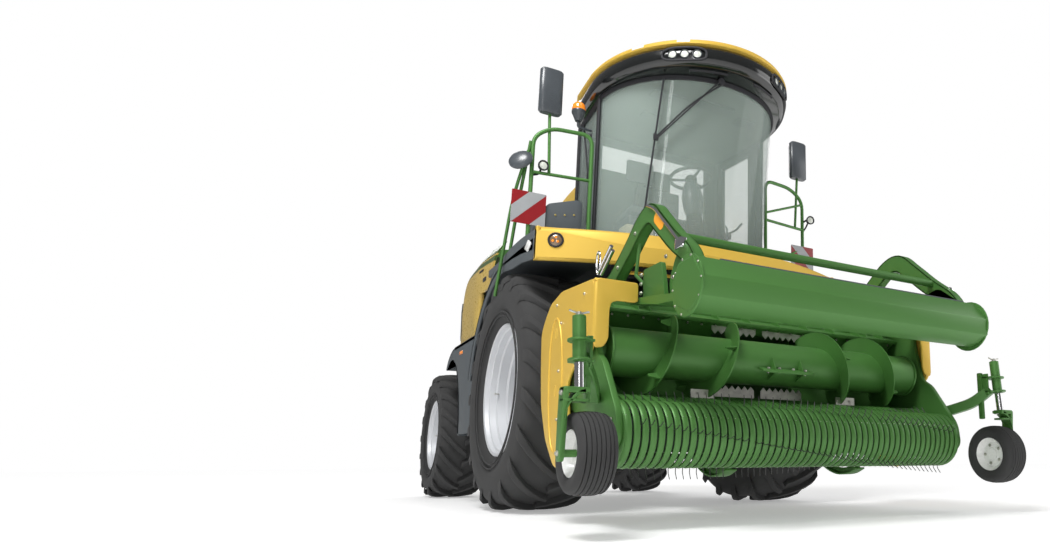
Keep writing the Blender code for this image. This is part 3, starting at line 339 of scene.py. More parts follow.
def bolts(points, axis, radius=0.012, washer=True):
    """Hexagon heads, each on a washer, standing off the points along axis."""
    shapes = []
    axis = Vector(axis).normalized()
    for point in points:
        point = Vector(point)
        if washer:
            shapes.append(rod(point - axis * 0.002, point + axis * radius * 0.2, radius * 1.25, 14))
        shapes.append(rod(point, point + axis * radius * 0.85, radius, 6, radius * 0.93))
    return shapes


def mirrored(low, high, side):
    return (low, high) if side > 0 else (-high, -low)


def arc(centre, radius, start, stop, count):
    """Points on an arc in the fore-and-aft plane, angles in degrees from the rear."""
    y, z = centre
    angles = [math.radians(start + (stop - start) * i / count) for i in range(count + 1)]
    return [(y + radius * math.cos(a), z + radius * math.sin(a)) for a in angles]


# ---- finishes ----
def node(tree, kind, inputs=(), **settings):
    made = tree.nodes.new("ShaderNode" + kind)
    for key, value in settings.items():
        setattr(made, key, value)
    for key, value in dict(inputs).items():
        made.inputs[key].default_value = value
    return made


def shaded(name, rough, metallic=0.0, coat=0.0, sheen=0.0):
    made = bpy.data.materials.new(name)
    made.use_nodes = True
    tree = made.node_tree
    shader = tree.nodes["Principled BSDF"]
    shader.inputs["Roughness"].default_value = rough
    shader.inputs["Metallic"].default_value = metallic
    shader.inputs["Coat Weight"].default_value = coat
    shader.inputs["Coat Roughness"].default_value = 0.08
    shader.inputs["Sheen Weight"].default_value = sheen
    spot = node(tree, "TexCoord").outputs["Object"]
    return made, tree, shader, spot


def mottled(tree, spot, base, amount, scale, detail=5.0):
    """A colour that drifts a little darker and lighter across the surface."""
    drift = node(tree, "TexNoise", {"Scale": scale, "Detail": detail, "Roughness": 0.6})
    tree.links.new(spot, drift.inputs["Vector"])
    ramp = node(tree, "ValToRGB")
    ramp.color_ramp.elements[0].position = 0.3
    ramp.color_ramp.elements[1].position = 0.7
    ramp.color_ramp.elements[0].color = (*[c * (1 - amount) for c in base], 1.0)
    ramp.color_ramp.elements[1].color = (*[min(1.0, c * (1 + amount)) for c in base], 1.0)
    tree.links.new(drift.outputs["Fac"], ramp.inputs["Fac"])
    return ramp.outputs["Color"]


def grained(tree, spot, shader, scale, depth, low, high, stretch=(1, 1, 1)):
    """Fine relief and a roughness that follows it."""
    size = node(tree, "Mapping", {"Scale": stretch})
    grain = node(tree, "TexNoise", {"Scale": scale, "Detail": 6.0, "Roughness": 0.55})
    tree.links.new(spot, size.inputs["Vector"])
    tree.links.new(size.outputs["Vector"], grain.inputs["Vector"])
    spread = node(tree, "MapRange", {"From Min": 0.3, "From Max": 0.7, "To Min": low, "To Max": high})
    tree.links.new(grain.outputs["Fac"], spread.inputs["Value"])
    tree.links.new(spread.outputs["Result"], shader.inputs["Roughness"])
    relief = node(tree, "Bump", {"Strength": 0.5, "Distance": depth})
    tree.links.new(grain.outputs["Fac"], relief.inputs["Height"])
    tree.links.new(relief.outputs["Normal"], shader.inputs["Normal"])


def dusted(tree, spot, colour_out, dust, amount, fade_low=0.1, fade_high=1.6):
    """Dust that lies thicker low down and in patches."""
    parts = node(tree, "SeparateXYZ")
    tree.links.new(spot, parts.inputs["Vector"])
    fade = node(tree, "MapRange", {"From Min": fade_low, "From Max": fade_high, "To Min": 1.0, "To Max": 0.15})
    tree.links.new(parts.outputs["Z"], fade.inputs["Value"])
    patch = node(tree, "TexNoise", {"Scale": 5.0, "Detail": 7.0, "Roughness": 0.65})
    tree.links.new(spot, patch.inputs["Vector"])
    level = node(tree, "MapRange", {"From Min": 0.42, "From Max": 0.75, "To Min": 0.0, "To Max": amount})
    tree.links.new(patch.outputs["Fac"], level.inputs["Value"])
    both = node(tree, "Math", operation="MULTIPLY")
    tree.links.new(level.outputs["Result"], both.inputs[0])
    tree.links.new(fade.outputs["Result"], both.inputs[1])
    mix = node(tree, "MixRGB", {"Color2": (*dust, 1.0)})
    tree.links.new(both.outputs["Value"], mix.inputs["Fac"])
    tree.links.new(colour_out, mix.inputs["Color1"])
    return mix.outputs["Color"]


def paint(name, base, rough=0.3, coat=0.25, amount=0.08, dust=0.25):
    """Glossy machine paint with faint orange peel and a film of dust."""
    made, tree, shader, spot = shaded(name, rough, coat=coat)
    out = dusted(tree, spot, mottled(tree, spot, base, amount, 1.7), (0.30, 0.26, 0.18), dust)
    tree.links.new(out, shader.inputs["Base Color"])
    grained(tree, spot, shader, 42.0, 0.0006, rough * 0.8, rough * 1.25)
    return made


def plain(name, base, rough=0.5, metallic=0.0, coat=0.0, amount=0.12, scale=3.0, grain=120.0,
          depth=0.0004, stretch=(1, 1, 1), dust=0.0):
    """A moulded, cast or bare surface: colour drift, grain, and dust if asked."""
    made, tree, shader, spot = shaded(name, rough, metallic, coat)
    out = mottled(tree, spot, base, amount, scale)
    if dust:
        out = dusted(tree, spot, out, (0.33, 0.29, 0.22), dust)
    tree.links.new(out, shader.inputs["Base Color"])
    grained(tree, spot, shader, grain, depth, rough * 0.75, min(1.0, rough * 1.3), stretch)
    return made


def striped(name, pairs, stretch, width, slope, rough=0.35):
    """Two colours in bands that lean by slope as they rise."""
    made, tree, shader, spot = shaded(name, rough, coat=0.2)
    parts = node(tree, "SeparateXYZ")
    tree.links.new(spot, parts.inputs["Vector"])
    lean = node(tree, "Math", {1: slope}, operation="MULTIPLY")
    tree.links.new(parts.outputs["Z"], lean.inputs[0])
    total = node(tree, "Math", operation="ADD")
    tree.links.new(parts.outputs["X"], total.inputs[0])
    tree.links.new(lean.outputs["Value"], total.inputs[1])
    shift = node(tree, "Math", {1: stretch}, operation="ADD")
    tree.links.new(total.outputs["Value"], shift.inputs[0])
    count = node(tree, "Math", {1: 1.0 / (2 * width)}, operation="MULTIPLY")
    tree.links.new(shift.outputs["Value"], count.inputs[0])
    part = node(tree, "Math", operation="FRACT")
    tree.links.new(count.outputs["Value"], part.inputs[0])
    pick = node(tree, "Math", {1: 0.5}, operation="GREATER_THAN")
    tree.links.new(part.outputs["Value"], pick.inputs[0])
    mix = node(tree, "MixRGB")
    tree.links.new(pick.outputs["Value"], mix.inputs["Fac"])
    for key, base in zip(("Color1", "Color2"), pairs):
        tree.links.new(mottled(tree, spot, base, 0.06, 6.0), mix.inputs[key])
    tree.links.new(mix.outputs["Color"], shader.inputs["Base Color"])
    grained(tree, spot, shader, 90.0, 0.0003, rough * 0.8, rough * 1.2)
    return made


def two_tone(name, lower, upper, rough=0.3):
    """Side panels: yellow below, green above a line that climbs to the rear, with a thin stripe."""
    made, tree, shader, spot = shaded(name, rough, coat=0.25)
    parts = node(tree, "SeparateXYZ")
    tree.links.new(spot, parts.inputs["Vector"])
    slope = node(tree, "Math", {1: -0.05}, operation="MULTIPLY")
    tree.links.new(parts.outputs["Y"], slope.inputs[0])
    level = node(tree, "Math", operation="ADD")
    tree.links.new(parts.outputs["Z"], level.inputs[0])
    tree.links.new(slope.outputs["Value"], level.inputs[1])
    masks = []
    for height in (2.27, 2.33, 2.35):
        above = node(tree, "Math", {1: height}, operation="GREATER_THAN")
        tree.links.new(level.outputs["Value"], above.inputs[0])
        masks.append(above.outputs["Value"])
    out = mottled(tree, spot, lower, 0.08, 1.7)
    for mask, base in zip(masks, (upper, lower, upper)):
        mix = node(tree, "MixRGB")
        tree.links.new(mask, mix.inputs["Fac"])
        tree.links.new(out, mix.inputs["Color1"])
        tree.links.new(mottled(tree, spot, base, 0.08, 1.7), mix.inputs["Color2"])
        out = mix.outputs["Color"]
    out = dusted(tree, spot, out, (0.30, 0.26, 0.18), 0.25)
    tree.links.new(out, shader.inputs["Base Color"])
    grained(tree, spot, shader, 42.0, 0.0006, rough * 0.8, rough * 1.25)
    return made


def glass(name, base, alpha):
    """Tinted glass with the faintest streaks on it."""
    made, tree, shader, spot = shaded(name, 0.03)
    tree.links.new(mottled(tree, spot, base, 0.10, 0.9), shader.inputs["Base Color"])
    shader.inputs["Alpha"].default_value = alpha
    smear = node(tree, "TexNoise", {"Scale": 4.0, "Detail": 3.0})
    tree.links.new(spot, smear.inputs["Vector"])
    spread = node(tree, "MapRange", {"From Min": 0.4, "From Max": 0.8, "To Min": 0.015, "To Max": 0.10})
    tree.links.new(smear.outputs["Fac"], spread.inputs["Value"])
    tree.links.new(spread.outputs["Result"], shader.inputs["Roughness"])
    return made


def lens(name, base, glow):
    """A clear or coloured lamp glass with fine flutes."""
    made, tree, shader, spot = shaded(name, 0.12, coat=1.0)
    tree.links.new(mottled(tree, spot, base, 0.15, 30.0), shader.inputs["Base Color"])
    shader.inputs["Emission Color"].default_value = (*base, 1.0)
    shader.inputs["Emission Strength"].default_value = glow
    flutes = node(tree, "TexVoronoi", {"Scale": 90.0})
    tree.links.new(spot, flutes.inputs["Vector"])
    relief = node(tree, "Bump", {"Strength": 0.4, "Distance": 0.002})
    tree.links.new(flutes.outputs["Distance"], relief.inputs["Height"])
    tree.links.new(relief.outputs["Normal"], shader.inputs["Normal"])
    return made


def woven(name, base):
    """Seat cloth: crossed threads, a soft sheen and rubbed places."""
    made, tree, shader, spot = shaded(name, 0.85, sheen=0.3)
    tree.links.new(mottled(tree, spot, base, 0.25, 9.0), shader.inputs["Base Color"])
    heights = []
    for turn in (0.785, -0.785):
        aim = node(tree, "Mapping", {"Rotation": (turn, 0.3, turn)})
        tree.links.new(spot, aim.inputs["Vector"])
        thread = node(tree, "TexWave", {"Scale": 130.0, "Distortion": 0.6, "Detail": 1.0})
        tree.links.new(aim.outputs["Vector"], thread.inputs["Vector"])
        heights.append(thread.outputs["Fac"])
    cross = node(tree, "Math", operation="MAXIMUM")
    for i, height in enumerate(heights):
        tree.links.new(height, cross.inputs[i])
    relief = node(tree, "Bump", {"Strength": 0.7, "Distance": 0.0012})
    tree.links.new(cross.outputs["Value"], relief.inputs["Height"])
    tree.links.new(relief.outputs["Normal"], shader.inputs["Normal"])
    return made


def holed(name, base, hole, scale, rough=0.4, metallic=0.0):
    """A perforated or expanded sheet: rows of dark cells in a lighter web."""
    made, tree, shader, spot = shaded(name, rough, metallic)
    cells = node(tree, "TexVoronoi", {"Scale": scale, "Randomness": 0.0})
    tree.links.new(spot, cells.inputs["Vector"])
    edge = node(tree, "MapRange", {"From Min": 0.33, "From Max": 0.40})
    tree.links.new(cells.outputs["Distance"], edge.inputs["Value"])
    mix = node(tree, "MixRGB", {"Color1": (*hole, 1.0)})
    tree.links.new(edge.outputs["Result"], mix.inputs["Fac"])
    tree.links.new(mottled(tree, spot, base, 0.12, 8.0), mix.inputs["Color2"])
    tree.links.new(mix.outputs["Color"], shader.inputs["Base Color"])
    relief = node(tree, "Bump", {"Strength": 0.8, "Distance": 0.003})
    tree.links.new(edge.outputs["Result"], relief.inputs["Height"])
    tree.links.new(relief.outputs["Normal"], shader.inputs["Normal"])
    return made


def rubber(name, base):
    """Tyre rubber, greyer and dustier low down, with a fine pebbled skin."""
    made, tree, shader, spot = shaded(name, 0.7)
    out = dusted(tree, spot, mottled(tree, spot, base, 0.22, 4.0), (0.12, 0.11, 0.095), 0.45, 0.0, 2.4)
    tree.links.new(out, shader.inputs["Base Color"])
    grained(tree, spot, shader, 160.0, 0.0010, 0.55, 0.85)
    return made


RECIPES = {
    "yellow_paint": lambda: paint("yellow_paint", colours().yellow, 0.34, 0.2),
    "green_paint": lambda: paint("green_paint", colours().green, 0.30, 0.3),
    "panel_paint": lambda: two_tone("panel_paint", colours().yellow, colours().green),
    "dark_plastic": lambda: plain("dark_plastic", colours().guard, 0.42, depth=0.0006, dust=0.3),
    "black_trim": lambda: plain("black_trim", colours().trim, 0.35, coat=0.15, grain=200.0),
    "chassis_paint": lambda: paint("chassis_paint", colours().chassis, 0.42, 0.1, 0.15, 0.45),
    "tyre_rubber": lambda: rubber("tyre_rubber", colours().rubber),
    "rim_silver": lambda: plain("rim_silver", colours().silver, 0.34, 0.55, 0.15, 0.06, 4.0, 60.0, dust=0.25),
    "chrome_rod": lambda: plain("chrome_rod", (0.80, 0.81, 0.82), 0.12, 1.0, 0.0, 0.04, 9.0, 180.0, 0.0001,
                                (1, 1, 14)),
    "zinc": lambda: plain("zinc", (0.56, 0.55, 0.50), 0.36, 0.85, 0.0, 0.20, 22.0, 90.0, 0.0004),
    "steel": lambda: plain("steel", (0.10, 0.10, 0.10), 0.42, 0.8, 0.0, 0.2, 25.0, 140.0, 0.0003, (1, 1, 8)),
    "cab_glass": lambda: glass("cab_glass", colours().glass, 0.36),
    "mirror_glass": lambda: plain("mirror_glass", (0.75, 0.78, 0.80), 0.04, 1.0, 0.0, 0.03, 2.0, 30.0, 0.0),
    "seat_cloth": lambda: woven("seat_cloth", colours().cloth),
    "grey_moulding": lambda: plain("grey_moulding", (0.060, 0.068, 0.076), 0.30, 0.0, 0.1, grain=220.0),
    "beige_moulding": lambda: plain("beige_moulding", (0.50, 0.46, 0.30), 0.5, grain=180.0),
    "lining": lambda: plain("lining", (0.055, 0.065, 0.055), 0.85, grain=260.0, depth=0.0008),
    "visor_gloss": lambda: plain("visor_gloss", (0.008, 0.009, 0.009), 0.16, coat=0.6, grain=30.0, depth=0.0002),
    "clear_lens": lambda: lens("clear_lens", (0.62, 0.64, 0.58), 0.12),
    "smoked_lens": lambda: lens("smoked_lens", (0.20, 0.13, 0.07), 0.0),
    "amber_lens": lambda: lens("amber_lens", (0.85, 0.24, 0.02), 0.35),
    "red_lens": lambda: lens("red_lens", (0.55, 0.02, 0.02), 0.15),
    "reflector": lambda: plain("reflector", (0.85, 0.85, 0.83), 0.3, 0.0, 0.6, 0.06, 60.0, 300.0, 0.0006),
    "caution_orange": lambda: plain("caution_orange", (0.90, 0.36, 0.02), 0.4, 0.0, 0.3, 0.05),
    "brass_dot": lambda: plain("brass_dot", (0.72, 0.55, 0.16), 0.35, 0.6, 0.0, 0.1, 40.0),
    "mesh_screen": lambda: holed("mesh_screen", (0.045, 0.05, 0.05), (0.004, 0.004, 0.004), 95.0),
    "stripes_right": lambda: striped("stripes_right", ((0.34, 0.35, 0.36), (0.27, 0.008, 0.012)), 9.883,
                                     0.147, -1.0),
    "stripes_left": lambda: striped("stripes_left", ((0.34, 0.35, 0.36), (0.27, 0.008, 0.012)), 9.962,
                                    0.147, 1.0),
    "screen_face": lambda: plain("screen_face", (0.03, 0.045, 0.05), 0.1, 0.0, 0.5, 0.2, 12.0, 20.0, 0.0),
    "hydraulic_hose": lambda: plain("hydraulic_hose", (0.015, 0.015, 0.015), 0.5, 0.0, 0.0, 0.2, 20.0, 260.0),
}


def finish(name):
    return bpy.data.materials.get(name) or RECIPES[name]()


def piece(name, shapes, body, surface, replaces=(), sharp=38):
    """One named piece made of the shapes, riding on a body if one is given."""
    mesh = bpy.data.meshes.new(name)
    whole = bmesh.new()
    for shape in shapes:
        shape.to_mesh(mesh)
        shape.free()
        whole.from_mesh(mesh)
    bmesh.ops.translate(whole, verts=whole.verts[:], vec=(0, AXLE.y, 0))
    whole.to_mesh(mesh)
    whole.free()
    mesh.shade_smooth()
    mesh.set_sharp_from_angle(angle=math.radians(sharp))
    made = bpy.data.objects.new(name, mesh)
    bpy.context.scene.collection.objects.link(made)
    mesh.materials.append(finish(surface))
    if body:
        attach(made, body)
    if replaces:
        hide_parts(*replaces)
    return made


def refinish(nodes, surface, edge=0.003):
    """CAD nodes whose shape is right: a better finish and slightly rounded edges."""
    for name in nodes:
        shown = frame["nodes"][name]
        for k in range(max(1, len(shown.material_slots))):
            if not shown.material_slots:
                shown.data.materials.append(None)
            shown.material_slots[k].material = finish(surface)
        if edge:
            weld = shown.modifiers.new("weld", "WELD")
            weld.merge_threshold = 0.00005
            soft = shown.modifiers.new("edges", "BEVEL")
            soft.width, soft.segments = edge, 2
            soft.limit_method, soft.angle_limit = "ANGLE", math.radians(35)


def joined_cut(name, base, cutters):
    """The base shape less the cutters, as a bmesh."""
    def shell(bm, label):
        mesh = bpy.data.meshes.new(label)
        bm.to_mesh(mesh)
        bm.free()
        made = bpy.data.objects.new(label, mesh)
        bpy.context.scene.collection.objects.link(made)
        return made
    whole = shell(base, name + "_base")
    tools = [shell(c, f"{name}_cut_{i}") for i, c in enumerate(cutters)]
    for tool in tools:
        change = whole.modifiers.new("cut", "BOOLEAN")
        change.operation, change.solver, change.object = "DIFFERENCE", "EXACT", tool
    graph = bpy.context.evaluated_depsgraph_get()
    mesh = bpy.data.meshes.new_from_object(whole.evaluated_get(graph))
    bm = bmesh.new()
    bm.from_mesh(mesh)
    for old in (whole, *tools):
        data = old.data
        bpy.data.objects.remove(old)
        bpy.data.meshes.remove(data)
    bpy.data.meshes.remove(mesh)
    bmesh.ops.remove_doubles(bm, verts=bm.verts[:], dist=0.00002)
    bmesh.ops.dissolve_limit(bm, angle_limit=0.001, verts=bm.verts[:], edges=bm.edges[:])
    return bm


# ---- wheels ----
def tyre_shapes(centre, side, radius, bead, width, lugs):
    """A carcass with a bulging wall and rows of slanted bars that meet at the crown."""
    depth = sizes().tread_depth
    wall = radius - bead
    crown = radius - depth
    profile = smooth_line([(bead, 0.385 * width), (bead + 0.05, 0.43 * width),
                           (bead + 0.40 * wall, 0.497 * width), (bead + 0.66 * wall, 0.487 * width),
                           (crown - 0.045, 0.455 * width), (crown - 0.008, 0.36 * width),
                           (crown, 0.18 * width), (crown + 0.004, 0.0)], 4)
    half = [(p.x, p.y) for p in profile]
    shape = half + [(r, -a) for r, a in reversed(half[:-1])]
    inner = [(bead - 0.002, -0.30 * width), (bead - 0.002, 0.30 * width)]
    made = [turned(shape + inner, centre, (side, 0, 0), 84)]
    for level in (0.16, 0.24):
        r = bead + level * wall
        ring = [(r + 0.006 * math.cos(a), 0.006 * math.sin(a)) for a in
                (math.tau * i / 6 for i in range(6))]
        for end in (-1, 1):
            at = end * (0.455 + 0.12 * level) * width
            made.append(turned([(r0, at + a0) for r0, a0 in ring], centre, (side, 0, 0), 64))
    rows = [(-0.03, 1.0, 0.0), (0.06, 1.0, 0.10), (0.17, 0.999, 0.27), (0.28, 0.995, 0.46),
            (0.38, 0.986, 0.66), (0.445, 0.972, 0.80), (0.482, 0.945, 0.88), (0.492, 0.895, 0.93)]
    pitch = math.tau / lugs
    for end in (-1, 1):
        for k in range(lugs):
            start = pitch * (k + (0.5 if end > 0 else 0.0))
            rings = []
            for i, (across, top, turn) in enumerate(rows):
                angle = start - turn * pitch * 1.25
                x = centre[0] + end * across * width
                r_top = radius * top
                r_low = min(crown - 0.01, r_top - 0.02) if i < 5 else r_top - 0.055
                thick = (0.026 + 0.012 * abs(across) / 0.49) * (radius / 0.99) ** 0.5
                ring = []
                for r, t in ((r_low, -thick * 1.5), (r_top, -thick), (r_top, thick), (r_low, thick * 1.5)):
                    a = angle + t / radius
                    ring.append((x, centre[1] + r * math.cos(a), centre[2] + r * math.sin(a)))
                rings.append(ring)
            made.append(softened(loft(rings), 0.005, 1, 40))
    return made


def rim_shapes(centre, side, bead, width, disc_at, hub, studs):
    """A deep-dished wheel: rolled lips, barrel, pressed disc and a ring of wheel nuts."""
    lip, end, wall = bead + 0.012, 0.405 * width, 0.014
    outer = [(bead - 0.03, disc_at + 0.02), (bead - 0.028, end - 0.05), (bead - 0.012, end - 0.02),
             (lip - 0.006, end - 0.008), (lip, end), (lip - 0.008, end + 0.008), (bead - 0.018, end + 0.002),
             (bead - 0.024, end - 0.030), (bead - 0.040, end - 0.036), (bead - 0.044, end - 0.085),
             (bead - 0.066, end - 0.095), (bead - 0.070, end - 0.165), (bead - 0.086, end - 0.180),
             (bead - 0.088, disc_at + 0.09)]
    face = [(bead - 0.105, disc_at + 0.035), (bead - 0.15, disc_at + 0.018), (bead - 0.18, disc_at + 0.014),
            (hub + 0.09, disc_at + 0.034), (hub + 0.03, disc_at + 0.048), (hub, disc_at + 0.05),
            (hub * 0.62, disc_at + 0.052), (hub * 0.60, disc_at + 0.10), (hub * 0.52, disc_at + 0.115),
            (0.0, disc_at + 0.118)]
    back = [(0.0, disc_at), (bead - 0.07, disc_at), (bead - 0.052, -end + 0.03), (bead - 0.03, -end),
            (lip, -end - 0.006), (lip, -end + 0.006), (bead - 0.012, -end + 0.02), (bead - 0.03, -end + 0.06)]
    shapes = [turned(back + outer + face, centre, (side, 0, 0), 72)]
    first, second = around((side, 0, 0))
    ring = hub * 0.82
    heads = []
    for k in range(studs):
        a = math.tau * k / studs
        heads.append(Vector(centre) + Vector((side * (disc_at + 0.05), 0, 0))
                     + ring * (math.cos(a) * first + math.sin(a) * second))
    nuts = bolts(heads, (side, 0, 0), 0.016)
    nuts += [rod(h, h + Vector((side * 0.032, 0, 0)), 0.008, 8) for h in heads]
    valve = Vector(centre) + first * (bead - 0.055) + Vector((side * (end - 0.10), 0, 0))
    nuts.append(tube([valve, valve - first * 0.03, valve - first * 0.045 + Vector((side * 0.04, 0, 0))],
                     0.006, 8, 0.01))
    return shapes, nuts


class HARVESTER_OT_wheels(bpy.types.Operator):
    """Road wheels: treaded tyres on deep-dished rims"""
    bl_idname = "harvester.wheels"
    bl_label = "Road wheels"

    def execute(self, context):
        rows = (("front", sizes().front_lugs, 0.20, 10), ("rear", sizes().rear_lugs, 0.15, 8))
        for end, lugs, hub, studs in rows:
            for name, side in SIDES:
                low, high = cad(f"{end}_tyre_{name}")
                rim_low, rim_high = cad(f"{end}_rim_{name}")
                centre = (low + high) / 2
                radius, width = (high.z - low.z) / 2, high.x - low.x
                bead = (rim_high.z - rim_low.z) / 2
                body = f"{end}_wheel_{name}"
                disc_at = {"front": -0.155, "rear": -0.11}[end]
                shapes = tyre_shapes(centre, side, radius, bead, width, lugs)
                piece(f"{end}_tyre_treaded_{name}", shapes, body, "tyre_rubber",
                      [f"{end}_tyre_{name}"])
                rim, nuts = rim_shapes(centre, side, bead, width, disc_at, hub, studs)
                piece(f"{end}_rim_dished_{name}", rim, body, "rim_silver", [f"{end}_rim_{name}"])
                piece(f"{end}_wheel_nuts_{name}", nuts, body, "zinc")
        return {"FINISHED"}


class HARVESTER_OT_gauge_wheels(bpy.types.Operator):
    """Ribbed gauge wheels and the castering forks that carry them"""
    bl_idname = "harvester.gauge_wheels"
    bl_label = "Gauge wheels"

    def execute(self, context):
        for name, side in SIDES:
            centre = pin(f"gauge_wheel_spin_{name}")
            low, high = cad(f"gauge_wheel_{name}")
            radius, half = (high.z - low.z) / 2, (high.x - low.x) / 2
            ribs = [-0.060, -0.036, -0.012, 0.012, 0.036, 0.060]
            tread = []
            for rib in ribs:
                tread += [(radius - 0.010, rib - 0.0115), (radius - 0.001, rib - 0.009),
                          (radius - 0.001, rib + 0.009), (radius - 0.010, rib + 0.0115)]
            tread = [(r - 0.010 * (a / 0.07) ** 4, a) for r, a in tread]
            wall = [(0.115, -0.075), (0.13, -0.095), (0.16, -half + 0.002), (0.185, -0.100),
                    (0.203, -0.086), (0.208, -0.076)]
            wall_back = [(r, -a) for r, a in reversed(wall)]
            body = f"gauge_wheel_{name}"
            piece(f"gauge_tyre_{name}", [turned(wall + tread + wall_back, centre, (1, 0, 0), 64)],
                  body, "tyre_rubber", [f"gauge_wheel_{name}"])
            rim = [(0.0, -0.055), (0.045, -0.055), (0.05, -0.045), (0.09, -0.040), (0.105, -0.07),
                   (0.12, -0.088), (0.125, -0.082), (0.112, -0.055)]
            rim += [(r, -a) for r, a in reversed(rim)]
            shapes = [turned(rim, centre, (1, 0, 0), 48)]
            piece(f"gauge_rim_{name}", shapes, body, "reflector")
            spots = [centre + Vector((-side * 0.047, 0.07 * math.cos(a), 0.07 * math.sin(a)))
                     for a in (math.tau * k / 5 for k in range(5))]
            piece(f"gauge_nuts_{name}", bolts(spots, (-side, 0, 0), 0.009), body, "zinc")
            self.fork(name, side, centre)
        return {"FINISHED"}

    def fork(self, name, side, centre):
        """Chrome stem, arched head and one-sided leg of a caster."""
        foot = pin(f"caster_swivel_{name}")
        axis = Vector(JOINTS[f"caster_swivel_{name}"]["axis"])
        stem_end = foot - axis * 0.165
        body = f"caster_{name}"
        stem = [rod(foot - axis * 0.004, stem_end, 0.026, 28),
                turned([(0.0, 0.0), (0.040, 0.0), (0.042, 0.012), (0.036, 0.02), (0.0, 0.02)],
                       stem_end, axis, 28)]
        piece(f"caster_stem_{name}", stem, body, "chrome_rod")
        x_out = centre.x + side * 0.138
        head = [(centre.x + side * 0.018, -2.668), (centre.x + side * 0.150, -2.668),
                (centre.x + side * 0.150, -2.580), (centre.x + side * 0.018, -2.580)]
        head = rounded_outline(head, 0.02)
        shapes = [slab(head, "Z", 0.735, 0.765, 0.004), slab(head, "Z", 0.69, 0.704, 0.003)]
        leg = [(-2.668, 0.765), (-2.580, 0.765), (-2.570, 0.60), (centre.y + 0.035, centre.z - 0.02),
               (centre.y + 0.018, centre.z - 0.042), (centre.y - 0.018, centre.z - 0.042),
               (centre.y - 0.035, centre.z - 0.02), (-2.655, 0.60)]
        shapes.append(slab(rounded_outline(leg, 0.02), "X", x_out - 0.012, x_out + 0.014, 0.003))
        arch = []
        for i in range(9):
            t = i / 8
            arch.append(Vector((x_out - side * 0.125 * (1 - math.cos(t * math.pi / 2)), 0,
                                0.60 + 0.14 * math.sin(t * math.pi / 2))))
        rings = [[(p.x, -2.668, p.z), (p.x, -2.580, p.z), (p.x, -2.580, p.z + 0.02), (p.x, -2.668, p.z + 0.02)]
                 for p in arch]
        shapes.append(softened(loft(rings), 0.003, 1))
        shapes.append(rod((centre.x + side * 0.05, centre.y, centre.z), (x_out, centre.y, centre.z), 0.02, 20))
        piece(f"caster_fork_{name}", shapes, body, "green_paint", [f"caster_{name}"])
        ends = [(x_out + side * 0.014, centre.y, centre.z), (x_out + side * 0.014, -2.625, 0.735)]
        piece(f"caster_bolts_{name}", bolts(ends, (side, 0, 0), 0.012), body, "zinc")


# ---- header ----
AUGER = pin("auger_spin")
PICKUP = pin("pickup_spin")
HEADER_HALF = 1.40
PLATE = 0.04


